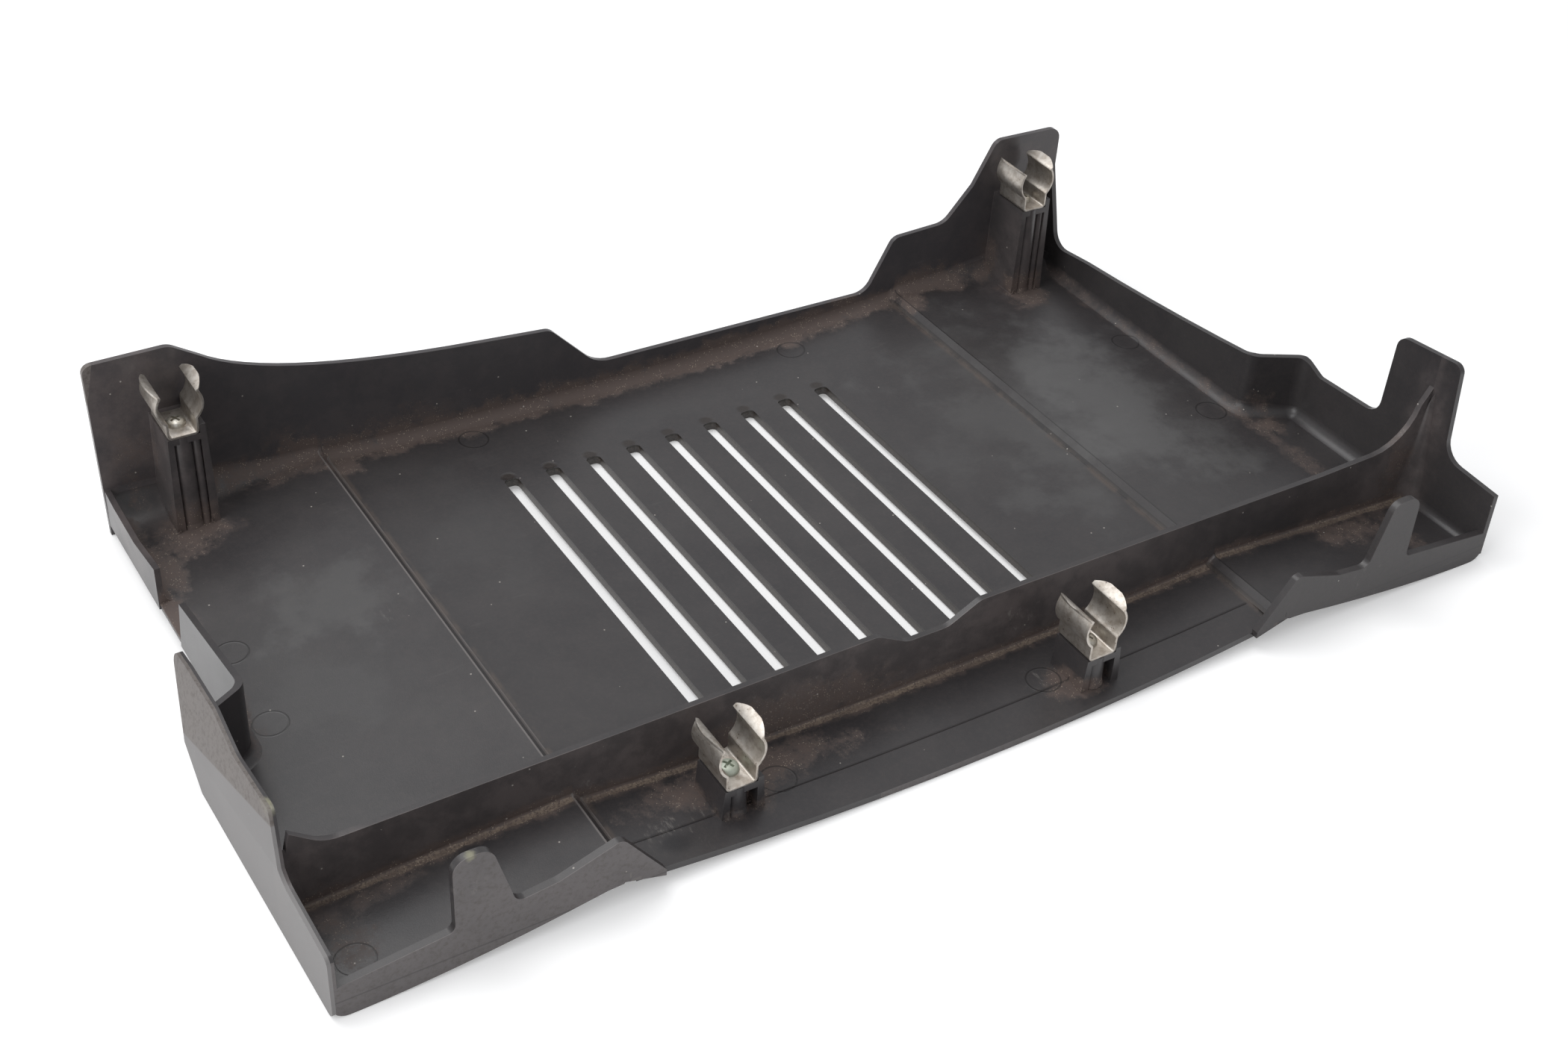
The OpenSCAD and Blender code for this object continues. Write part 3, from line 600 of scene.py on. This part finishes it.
def flange_fold(m, spot, colour):
    """The fold line across the middle of the front flange, drawn as a painted shade line."""
    on_flange = m.times(m.under(m.size(spot.across), FLANGE_FOLD_HALF), m.under(m.size(spot.height), 1.5))
    fold = m.times(m.fade(m.size(m.minus(spot.y, FLANGE_FOLD_Y)), 0.7, 0.1), on_flange)
    return m.colour(m.times(fold, 0.6), colour, FINE_LINE), fold


def specks_and_scratches(m, spot, colour):
    """Pale specks and faint scratches over everything."""
    specks = m.use(SPECKS, Place=spot.place)
    colour = m.colour(m.times(specks["Specks"], 0.7), colour, SPECK)
    return m.colour(m.times(specks["Rubbed"], 0.12), colour, SCRATCH)


def lit_left_outside(m, spot, colour):
    """The left wall's outer face, pale partly from chalk and dust and partly as a painted lit side: chalky
    and paler below the fold, dusty and darker above it, a painted change of shade at the fold.
    """
    over_fold = m.fade(m.plus(spot.z, m.times(spot.y, FOLD_SHADE_SLOPE)), FOLD_SHADE_LOW, FOLD_SHADE_HIGH)
    dusty = m.colour(m.times(spot.speckle, 0.8), LEFT_DUST, LEFT_DUST_DARK)
    share = m.times(spot.left_face, m.plus(0.62, m.times(spot.cloud, 0.4)))
    return m.colour(share, colour, m.colour(over_fold, LEFT_CHALK_LIT, dusty))


def cover_plastic():
    """Satin black plastic, faded and rubbed, with brown dust in the corners, faint pin marks, painted shade
    and highlights on its steps, folds and rims, and a painted reflection on the floor.
    """
    material, m = start_material("moulded_plastic")
    spot = Surface(m)
    colour = brown_film(m, spot, faded_base(m, spot))
    colour = chalk_haze_and_sheen(m, spot, colour)
    colour, dust = dust_and_sand(m, spot, colour)
    colour = scrapes_and_chips(m, spot, colour)
    colour, dent = slot_dirt(m, spot, colour)
    colour, rim = pin_marks(m, spot, colour)
    colour = panel_steps(m, spot, colour)
    colour, fold = flange_fold(m, spot, colour)
    colour = specks_and_scratches(m, spot, colour)
    colour = lit_left_outside(m, spot, colour)
    chalky = m.times(m.most(spot.left_face, spot.front_face), 0.2)
    rough = m.plus(0.27, m.times(spot.cloud, 0.12), chalky, m.times(dust, 0.4))
    grain = m.noise(spot.place, 2.2, 3.0, 0.6, 8.0)
    relief = m.plus(m.times(grain, 0.3), m.times(rim, 0.5), m.times(spot.cloud, 0.5),
                    m.times(fold, -2.0), m.times(dent, -2.0))
    finish_material(m, colour, rough, bump(m, relief, distance=0.00022, strength=0.55))
    return material


def rubbed_and_highlighted_rim(plastic):
    """The same plastic paler on the rounded edges: rubbed wear, and a painted highlight along the rims."""
    material = plastic.copy()
    material.name = "rubbed_and_highlighted_edges"
    tree = material.node_tree
    shader = next(node for node in tree.nodes if node.type == "BSDF_PRINCIPLED")
    m = Maker(tree)
    colour = shader.inputs["Base Color"].links[0].from_socket
    wear_and_highlight = m.fade(m.noise(m.place(), 0.16, 4.0, 0.7, 17.0), 0.35, 0.65)
    m.feed(shader.inputs["Base Color"], m.colour(m.plus(0.2, m.times(wear_and_highlight, 0.3)), colour, PLASTIC_RUBBED_HIGHLIGHT))
    return material


def clip_steel():
    """Pale spring steel with fine pits and brown stains."""
    material, m = start_material("spring_steel")
    place = m.place()
    blotch = m.noise(place, 0.35, 4.0, 0.65, 2.0)
    fine = m.noise(place, 2.5, 3.0, 0.7, 6.0)
    colour = m.colour(m.fade(blotch, 0.35, 0.7), STEEL_PALE, STEEL_DULL)
    pits = m.times(m.fade(m.cells(place, 0.55), 0.22, 0.08), m.over(blotch, 0.52))
    colour = m.colour(m.times(pits, 0.8), colour, STEEL_PIT)
    rough = m.plus(0.30, m.times(fine, 0.2))
    normal = bump(m, m.minus(fine, pits), distance=0.00012, strength=0.5)
    finish_material(m, colour, rough, normal, metallic=0.9)
    return material


def screw_zinc():
    """Dull zinc plating with brown stains. The front left screw has a greenish bloom."""
    material, m = start_material("zinc_plating")
    place = m.place()
    blotch = m.noise(place, 0.6, 4.0, 0.65, 2.0)
    off = m.size(m.minus(m.split(place)[0], FRONT_POSTS[0][0]))
    bloom = m.times(m.fade(off, 8.0, 6.0), 0.8)
    colour = m.colour(m.fade(blotch, 0.35, 0.7), ZINC_PALE, ZINC_STAIN)
    colour = m.colour(bloom, colour, ZINC_BLOOM)
    rough = m.plus(0.32, m.times(blotch, 0.25))
    metal = m.minus(0.95, m.times(bloom, 0.7))
    finish_material(m, colour, rough, bump(m, blotch, distance=0.00015, strength=0.5), metallic=metal)
    return material


# Meshes

# Edges that turn by more degrees than these are shaded sharp, or rounded. Below FLAT, faces become one.
SHARP, ROUNDED, FLAT = 34.0, 32.0, 0.6

# Points closer than this, in metres, become one
MERGED = 2e-5

# How deep a hollow's buried corner lies in the walls, and how far the whole hollow is pushed into them
SUNK, OVERLAP = 0.5, 0.04


def add_object(name, mesh):
    """A new object in the scene."""
    made = bpy.data.objects.new(name, mesh)
    bpy.context.scene.collection.objects.link(made)
    return made


def apply_modifiers(piece):
    """The piece with its modifiers turned into plain mesh."""
    graph = bpy.context.evaluated_depsgraph_get()
    graph.update()
    mesh = bpy.data.meshes.new_from_object(piece.evaluated_get(graph))
    old = piece.data
    piece.modifiers.clear()
    piece.data = mesh
    mesh.name = piece.name
    bpy.data.meshes.remove(old)
    return piece


def rounded_copy(node, name, width, rim=-1):
    """A merged copy of a solid with its sharp edges rounded. rim: the rounding's material slot, or -1."""
    shape = bmesh.new()
    shape.from_mesh(nodes[node].data)
    bmesh.ops.remove_doubles(shape, verts=shape.verts, dist=MERGED)
    bmesh.ops.dissolve_limit(shape, angle_limit=math.radians(FLAT), verts=shape.verts, edges=shape.edges)
    mesh = bpy.data.meshes.new(name)
    shape.to_mesh(mesh)
    shape.free()
    for _ in range(rim + 1):
        mesh.materials.append(None)
    piece = add_object(name, mesh)
    edges = piece.modifiers.new("rounded edges", "BEVEL")
    edges.width = width * MM
    edges.segments = 2
    edges.limit_method = "ANGLE"
    edges.angle_limit = math.radians(ROUNDED)
    edges.use_clamp_overlap = True
    edges.material = rim
    return apply_modifiers(piece)


def shade(piece):
    """Smooth shading, with sharp edges kept sharp."""
    shape = bmesh.new()
    shape.from_mesh(piece.data)
    for face in shape.faces:
        face.smooth = True
    for edge in shape.edges:
        edge.smooth = len(edge.link_faces) == 2 and edge.calc_face_angle(math.pi) < math.radians(SHARP)
    shape.to_mesh(piece.data)
    shape.free()


def join(pieces, name):
    """One object from several, whose faces keep their slot numbers."""
    shape = bmesh.new()
    for piece in pieces:
        shape.from_mesh(piece.data)
    mesh = bpy.data.meshes.new(name)
    shape.to_mesh(mesh)
    shape.free()
    for piece in pieces:
        bpy.data.objects.remove(piece)
    return add_object(name, mesh)


def closed_piece(name, verts, faces):
    """A piece from points in millimetres and faces, all turned outwards."""
    mesh = bpy.data.meshes.new(name)
    mesh.from_pydata([(x * MM, y * MM, z * MM) for x, y, z in verts], [], faces)
    shape = bmesh.new()
    shape.from_mesh(mesh)
    bmesh.ops.recalc_face_normals(shape, faces=shape.faces)
    shape.to_mesh(mesh)
    shape.free()
    return add_object(name, mesh)


def side_faces(count, rings):
    """Four-cornered faces between rings of count points each."""
    starts = [count * i for i in range(rings)]
    return [(this + j, this + (j + 1) % count, after + (j + 1) % count, after + j)
            for this, after in zip(starts, starts[1:]) for j in range(count)]


def ringed_piece(name, rings):
    """A closed piece that passes through rings of equally many points."""
    count, last = len(rings[0]), (len(rings) - 1) * len(rings[0])
    verts = [point for ring in rings for point in ring]
    ends = [tuple(reversed(range(count))), tuple(range(last, last + count))]
    return closed_piece(name, verts, side_faces(count, len(rings)) + ends)


def spread(start, end, count):
    """Evenly spaced values from start to end."""
    return [start + (end - start) * i / (count - 1) for i in range(count)]


def quarter_turns(steps):
    """Evenly spaced angles from 0 to a right angle."""
    return [math.pi / 2 * i / steps for i in range(steps + 1)]


# Hollows at the feet of the walls and in their corners

def hollow_section(radius, steps, squash=1.0):
    """A hollow's section, out from the wall and up: a buried corner, then a quarter circle."""
    return [(-SUNK, -SUNK)] + [(radius - radius * math.cos(a), (radius - radius * math.sin(a)) * squash)
                               for a in quarter_turns(steps)]


def hollow(name, path, inward, radius, steps=7):
    """A strip with a hollow face in the corner between floor and wall.

    path: points of the corner line. inward: for each point, the direction away from the wall."""
    section = [(a - OVERLAP, b - OVERLAP) for a, b in hollow_section(radius, steps)]
    return ringed_piece(name, [[(x + way[0] * a, y + way[1] * a, z + b) for a, b in section]
                               for (x, y, z), way in zip(path, inward)])


def across_hollow(name, start, end, at, way, radius):
    """A hollow along X at y = at, following the floor's rise and fall."""
    bends = [MIDDLE - RIDGE_X, MIDDLE - PANEL_HALF, MIDDLE + PANEL_HALF, MIDDLE + RIDGE_X]
    xs = sorted(set(spread(start, end, 90) + [x for x in bends if start < x < end]))
    return hollow(name, [(x, at, floor_at(x)) for x in xs], [(0, way)] * len(xs), radius)


def along_hollow(name, at, start, end, way, radius):
    """A hollow along Y at x = at."""
    ys = spread(start, end, 24)
    return hollow(name, [(at, y, floor_at(at)) for y in ys], [(way, 0)] * len(ys), radius)


def corner_ramp(name, side):
    """The hollow at the back wall's foot, which widens behind a rear post and ends at the side wall."""
    near, wide, squash, stops = 5.0, 20.0, 0.75, 26
    rings = []
    for i, x in enumerate(spread(MIDDLE + side * STEP_X, LEFT_IN if side < 0 else RIGHT_IN, stops)):
        share = i / (stops - 1)
        radius = near + (wide - near) * (3 * share ** 2 - 2 * share ** 3)
        section = hollow_section(radius, 9, squash)
        rings.append([(x, BACK_IN - a, floor_at(x) + b - OVERLAP) for a, b in section])
    return ringed_piece(name, rings)


def upright_hollow(name, x, y, ways, low, high, radius):
    """A hollow in the upright corner between two walls. ways: which way each wall runs from the corner."""
    section = [(a - OVERLAP, b - OVERLAP) for a, b in hollow_section(radius, 7)]
    return ringed_piece(name, [[(x + ways[0] * a, y + ways[1] * b, z) for a, b in section]
                               for z in (low, high)])


def rib_corner(name, x, way, radius, top_radius, rib_top, wall_top):
    """A hollow in the upright corner between the rib's front and a side wall, narrower at their rims."""
    low, steps = 5.0, 9
    base, crest = [], []
    for i, a in enumerate(quarter_turns(steps)):
        out, back = 1 - math.cos(a), 1 - math.sin(a)
        top = wall_top + (rib_top - wall_top) * (i / steps) ** 1.5
        base.append((x + way * radius * out, RIB_FRONT - radius * back, low))
        crest.append((x + way * top_radius * out, RIB_FRONT - top_radius * back, top))
    base.append((x - way * SUNK, RIB_FRONT + SUNK, low))
    crest.append((x - way * SUNK, RIB_FRONT + SUNK, (rib_top + wall_top) / 2))
    count = len(base)
    crown = [(count + j, count + j + 1, 2 * count - 1) for j in range(count - 2)]
    return closed_piece(name, base + crest, side_faces(count, 2) + [tuple(reversed(range(count)))] + crown)


def bent_hollow(name, path, inward, radius, steps):
    """A hollow along a wall with bends: each point carries its own direction away from the wall."""
    longest = 8.0
    points, ways = [path[0]], [inward[0]]
    for (a, b), (way_a, way_b) in zip(zip(path, path[1:]), zip(inward, inward[1:])):
        count = max(1, round(math.dist(a, b) / longest))
        for i in range(1, count + 1):
            share = i / count
            points.append((a[0] + (b[0] - a[0]) * share, a[1] + (b[1] - a[1]) * share))
            turn = Vector(way_a).lerp(Vector(way_b), share).normalized()
            ways.append((turn.x, turn.y))
    return hollow(name, [(x, y, floor_at(x)) for x, y in points], ways, radius, steps)


def bend(centre, radius, start, end, way):
    """Points round a rounded corner between two angles, and the direction away from the wall at each."""
    turns = [math.radians(a) for a in spread(start, end, 7)]
    path = [(centre[0] + radius * math.cos(a), centre[1] + radius * math.sin(a)) for a in turns]
    return path, [(way * math.cos(a), way * math.sin(a)) for a in turns]


def right_wall_hollow(radius):
    """The right wall's foot, with its step outwards towards the front."""
    out_path, out_ways = bend((247.7, -10.1), radius=8.0, start=180, end=244, way=1)
    in_path, in_ways = bend((256.6, -30.6), radius=6.7, start=64, end=0, way=-1)
    rear = [(RIGHT_IN, 143), (RIGHT_IN, -8)]
    front = [(RIGHT_FRONT_IN, -34), (RIGHT_FRONT_IN, -98)]
    ways = [(-1, 0)] * 2 + out_ways + in_ways + [(-1, 0)] * 2
    return bent_hollow("right_wall", rear + out_path + in_path + front, ways, radius, steps=8)


def left_wall_hollow(radius):
    """The left wall's foot from the notch to the rib, with its step outwards."""
    out_path, out_ways = bend((-251.4, -17.2), radius=7.5, start=0, end=-58, way=1)
    in_path, in_ways = bend((-257.6, -35.6), radius=5.2, start=122, end=180, way=-1)
    rear = [(LEFT_IN, 48), (LEFT_IN, -15)]
    front = [(-262.8, -38), (-262.2, -98)]
    ways = [(1, 0)] * 2 + out_ways + in_ways + [(1, 0)] * 2
    return bent_hollow("left_wall", rear + out_path + in_path + front, ways, radius, steps=8)


def post_skirts(post):
    """Small hollows at the feet of a post's left and right faces."""
    past_front, stops = 0.6, 6
    ys = spread(post[1] + POST_HALF_Y, post[1] - POST_HALF_Y - past_front, stops)
    skirts = []
    for i, side in enumerate((-1, 1)):
        x = post[0] + side * POST_HALF_X
        path = [(x, y, floor_at(x)) for y in ys]
        skirts.append(hollow("skirt" + str(i), path, [(side, 0)] * stops, radius=2.2, steps=4))
    return skirts


# Shapes made by Geometry Nodes

def new_shape_tree(name, sizes):
    """An empty Geometry Nodes tree with named sizes, its maker and its inputs."""
    tree = bpy.data.node_groups.new(name, "GeometryNodeTree")
    tree.is_modifier = True
    tree.interface.new_socket(name="Geometry", in_out="INPUT", socket_type="NodeSocketGeometry")
    for label, value in sizes.items():
        kind = "NodeSocketVector" if isinstance(value, tuple) else "NodeSocketFloat"
        tree.interface.new_socket(name=label, in_out="INPUT", socket_type=kind).default_value = value
    tree.interface.new_socket(name="Material", in_out="INPUT", socket_type="NodeSocketMaterial")
    tree.interface.new_socket(name="Geometry", in_out="OUTPUT", socket_type="NodeSocketGeometry")
    start = tree.nodes.new("NodeGroupInput")
    return tree, Maker(tree), start.outputs


def shape_node(tree, kind, **values):
    """A geometry node with its inputs set or linked by name, where an underscore stands for a space."""
    node = tree.nodes.new("GeometryNode" + kind)
    helper = Maker(tree)
    for name, value in values.items():
        socket = node.inputs[name.replace("_", " ")]
        if isinstance(value, int):
            socket.default_value = value
        else:
            helper.feed(socket, value)
    return node


def end_tree(tree, shapes, given):
    """Joins the shapes, moves them to their place, makes them real and gives them their material."""
    joined = tree.nodes.new("GeometryNodeJoinGeometry")
    for shape in shapes:
        tree.links.new(shape, joined.inputs[0])
    moved = shape_node(tree, "Transform", Geometry=joined.outputs[0], Translation=given["Place"])
    real = shape_node(tree, "RealizeInstances", Geometry=moved.outputs[0])
    finished = shape_node(tree, "SetMaterial", Geometry=real.outputs[0], Material=given["Material"])
    out = tree.nodes.new("NodeGroupOutput")
    tree.links.new(finished.outputs[0], out.inputs[0])
    return tree


def boss_tree():
    """The round column inside a post that takes its screw, on a wider foot. It stands on its place."""
    tree, m, given = new_shape_tree("screw_boss", {
        "Foot Radius": 0.0052, "Top Radius": 0.0044, "Height": 0.04, "Foot Height": 0.0028,
        "Place": (0.0, 0.0, 0.0)})
    column = shape_node(tree, "MeshCone", Vertices=24, Side_Segments=8, Radius_Top=given["Top Radius"],
                        Radius_Bottom=m.times(given["Top Radius"], 1.05), Depth=given["Height"])
    foot = shape_node(tree, "MeshCone", Vertices=24, Side_Segments=2,
                      Radius_Top=m.times(given["Top Radius"], 1.04),
                      Radius_Bottom=given["Foot Radius"], Depth=given["Foot Height"])
    return end_tree(tree, [column.outputs["Mesh"], foot.outputs["Mesh"]], given)


# Height of a screw's head, in metres
HEAD_HEIGHT = 0.0026


def screw_tree():
    """A pan head with a cross recess on a plain shank, standing on the underside of its head."""
    tree, m, given = new_shape_tree("pan_head_screw", {
        "Head Radius": 0.00415, "Head Height": HEAD_HEIGHT, "Shank Radius": 0.002, "Shank Length": 0.012,
        "Recess Width": 0.0048, "Recess Gap": 0.0011, "Recess Depth": 0.0015, "Place": (0.0, 0.0, 0.0)})
    ball = shape_node(tree, "MeshUVSphere", Segments=40, Rings=24, Radius=1.0)
    x, y, z = m.split(tree.nodes.new("GeometryNodeInputPosition").outputs[0])
    domed = m.math("POWER", m.most(z, 0.0), 0.62)
    dome = m.join(m.times(x, given["Head Radius"]), m.times(y, given["Head Radius"]),
                  m.times(domed, given["Head Height"]))
    head = shape_node(tree, "SetPosition", Geometry=ball.outputs["Mesh"], Position=dome)
    cut = tree.nodes.new("GeometryNodeMeshBoolean")
    cut.operation = "DIFFERENCE"
    cut.solver = "EXACT"
    tree.links.new(head.outputs[0], cut.inputs["Mesh 1"])
    deep = m.times(given["Recess Depth"], 2.0)
    width, gap = given["Recess Width"], given["Recess Gap"]
    for size in ((width, gap), (gap, width)):
        bar = shape_node(tree, "MeshCube", Size=m.join(*size, deep))
        raised = shape_node(tree, "Transform", Geometry=bar.outputs["Mesh"],
                            Translation=m.join(0.0, 0.0, given["Head Height"]), Rotation=(0.0, 0.0, 0.5))
        tree.links.new(raised.outputs[0], cut.inputs["Mesh 2"])
    shank = shape_node(tree, "MeshCylinder", Vertices=24, Side_Segments=1, Radius=given["Shank Radius"],
                       Depth=given["Shank Length"])
    middle = m.plus(m.times(given["Shank Length"], -0.5), 0.0001)
    lowered = shape_node(tree, "Transform", Geometry=shank.outputs["Mesh"],
                         Translation=m.join(0.0, 0.0, middle))
    return end_tree(tree, [cut.outputs["Mesh"], lowered.outputs[0]], given)


def head_in_clip(tree, name, material):
    """A screw in place of the solid one, between the same heights."""
    spots = [vertex.co for vertex in nodes[name].data.vertices]
    low, high = min(spot.z for spot in spots), max(spot.z for spot in spots)
    middle = [(min(spot[i] for spot in spots) + max(spot[i] for spot in spots)) / 2 for i in (0, 1)]
    under_head = high - HEAD_HEIGHT
    return grow(tree, name + "_shown", material, Shank_Length=under_head - low, Place=(*middle, under_head))


def grow(tree, name, material, **sizes):
    """A plain mesh piece from a tree and its sizes, where an underscore stands for a space."""
    mesh = bpy.data.meshes.new(name + "_start")
    piece = add_object(name, mesh)
    nodes_in = piece.modifiers.new("shape", "NODES")
    nodes_in.node_group = tree
    wanted = {label.replace("_", " "): value for label, value in sizes.items()}
    wanted["Material"] = material
    for item in tree.interface.items_tree:
        if item.item_type == "SOCKET" and item.in_out == "INPUT" and item.name in wanted:
            nodes_in[item.identifier] = wanted[item.name]
    return apply_modifiers(piece)


# Camera, floor and light

bpy.context.scene.view_settings.view_transform = "Standard"


def place_camera():
    """The photograph's viewpoint."""
    turn, tilt, roll = (math.radians(a) for a in (CAMERA_TURN, CAMERA_TILT, CAMERA_ROLL))
    view = Vector((math.cos(tilt) * math.sin(turn), math.cos(tilt) * math.cos(turn), -math.sin(tilt)))
    level = Vector((math.cos(turn), -math.sin(turn), 0.0))
    upright = level.cross(view)
    right = math.cos(roll) * level + math.sin(roll) * upright
    up = -math.sin(roll) * level + math.cos(roll) * upright
    data = bpy.data.cameras.new("photo_camera")
    data.sensor_width = SENSOR_WIDTH
    data.lens = FOCAL_PIXELS / PHOTO_WIDTH * SENSOR_WIDTH
    data.clip_start, data.clip_end = 0.05, 50.0
    camera = bpy.data.objects.new("photo_camera", data)
    turned = Matrix((right, up, -view)).transposed().to_4x4()
    camera.matrix_world = Matrix.Translation(Vector(CAMERA_AT) * MM) @ turned
    bpy.context.scene.collection.objects.link(camera)
    bpy.context.scene.camera = camera


def backdrop():
    """Pale floor that reads as white to the camera and in reflections, and keeps a soft shadow."""
    material, m = start_material("studio_floor")
    path = m.make("LightPath").outputs
    pale = m.make("BsdfDiffuse", FLOOR_TONE).outputs[0]
    glow = m.make("Emission", Strength=FLOOR_GLOW).outputs[0]
    glowing = m.make("AddShader", pale, glow).outputs[0]
    seen = m.most(path["Is Camera Ray"], path["Is Glossy Ray"])
    m.make("OutputMaterial", m.make("MixShader", seen, pale, glowing).outputs[0])
    half = FLOOR_HALF
    corners = [(-half, -half, 0), (half, -half, 0), (half, half, 0), (-half, half, 0)]
    mesh = bpy.data.meshes.new("studio_floor")
    mesh.from_pydata(corners, [], [(0, 1, 2, 3)])
    mesh.materials.append(material)
    floor = add_object("studio_floor", mesh)
    floor.location.z = -FLOOR_DROP


def light_up():
    """Plain soft studio light: an even pale surround and two large soft lamps."""
    world = bpy.data.worlds.new("studio")
    bpy.context.scene.world = world
    world.use_nodes = True
    world.node_tree.nodes.clear()
    m = Maker(world.node_tree)
    seen = m.make("LightPath").outputs["Is Camera Ray"]
    around = m.make("Background", SKY_TONE, SKY_STRENGTH).outputs[0]
    behind = m.make("Background", Strength=1.0).outputs[0]
    m.make("OutputWorld", m.make("MixShader", seen, around, behind).outputs[0])
    for name, place, size, power in LAMPS:
        data = bpy.data.lights.new(name, "AREA")
        data.shape = "SQUARE"
        data.size = size
        data.energy = power
        lamp = bpy.data.objects.new(name, data)
        lamp.location = place
        lamp.rotation_mode = "QUATERNION"
        lamp.rotation_quaternion = (Vector(LAMPS_AIM) - Vector(place)).to_track_quat("-Z", "Y")
        bpy.context.scene.collection.objects.link(lamp)


# Pieces

def column_in_post(bosses, name, post, off, material, **sizes):
    """A round column in a post, off its middle, from under the floor to just below the post's top."""
    under_floor, below_top = 0.5, 0.15
    low, high = floor_at(post[0]) - under_floor, post[2] - below_top
    stand = ((post[0] + off[0]) * MM, (post[1] + off[1]) * MM, low * MM)
    return grow(bosses, name, material, Height=(high - low) * MM, Place=stand, **sizes)


def inside_post(bosses, post, material):
    """What stands in a post: its screw's column, and in the rear posts a thin ridge and hollow feet."""
    columns = [column_in_post(bosses, "boss", post, (-0.5, -5.9), material)]
    if post in REAR_POSTS:
        thin = {"Foot_Radius": 0.0021, "Top_Radius": 0.0017}
        columns.append(column_in_post(bosses, "ridge", post, (5.2, -7.9), material, **thin))
        columns += post_skirts(post)
    return columns


def build_cover(material, rim):
    """The cover with rounded edges, and with hollows and columns in place."""
    skin = rounded_copy("cover", "cover_body", 0.8, rim=1)
    bosses = boss_tree()
    hollows = [
        across_hollow("back", MIDDLE - STEP_X, MIDDLE + STEP_X, BACK_IN, way=-1, radius=5.0),
        corner_ramp("left_ramp", side=-1),
        corner_ramp("right_ramp", side=1),
        across_hollow("rib_back", -257, 262, RIB_BACK, way=1, radius=2.5),
        across_hollow("rib_front", -258, 263, RIB_FRONT, way=-1, radius=1.6),
        along_hollow("left_rear", LEFT_IN, 79, 143, way=1, radius=4.0),
        left_wall_hollow(radius=5.0),
        right_wall_hollow(radius=6.2),
        along_hollow("right_flange", RIGHT_FRONT_IN, -143, -100, way=-1, radius=4.0),
        across_hollow("left_foot", -260, -160, FRONT_IN, way=1, radius=2.5),
        across_hollow("right_foot", 155, 264, FRONT_IN, way=1, radius=2.5),
        upright_hollow("left_corner", LEFT_IN, BACK_IN, (1, -1), low=5, high=14.5, radius=9.0),
        upright_hollow("right_corner", RIGHT_IN, BACK_IN, (-1, -1), low=5, high=16, radius=9.0),
        rib_corner("rib_left", -261.6, 1, radius=8.0, top_radius=1.2, rib_top=37.5, wall_top=35.5),
        rib_corner("rib_right", RIGHT_FRONT_IN, -1, radius=9.0, top_radius=1.8, rib_top=50.0, wall_top=62.0),
    ]
    for post in REAR_POSTS + FRONT_POSTS:
        hollows += inside_post(bosses, post, material)
    # Clearing the slots puts every face of a hollow or column on the first one, the plain plastic
    for piece in hollows:
        piece.data.materials.clear()
    body = join([skin] + hollows, "cover_body")
    body.data.materials.append(material)
    body.data.materials.append(rim)
    shade(body)
    even = body.modifiers.new("even shading", "WEIGHTED_NORMAL")
    even.keep_sharp = True
    even.weight = 60
    return apply_modifiers(body)


place_camera()
backdrop()
light_up()
plastic, steel, zinc = cover_plastic(), clip_steel(), screw_zinc()
# Rounded edges with rubbed wear and a painted highlight
wear_and_highlight = rubbed_and_highlighted_rim(plastic)

cover = build_cover(plastic, wear_and_highlight)
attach(cover, "root")
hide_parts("cover")

screws = screw_tree()
for corner in ("rear_left", "rear_right", "front_left", "front_right"):
    name = corner + "_clip"
    clip = rounded_copy(name, name + "_shown", 0.25)
    clip.data.materials.append(steel)
    screw = head_in_clip(screws, corner + "_screw", zinc)
    for piece, kind in ((clip, "clip"), (screw, "screw")):
        shade(piece)
        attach(piece, "root")
        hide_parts(corner + "_" + kind)
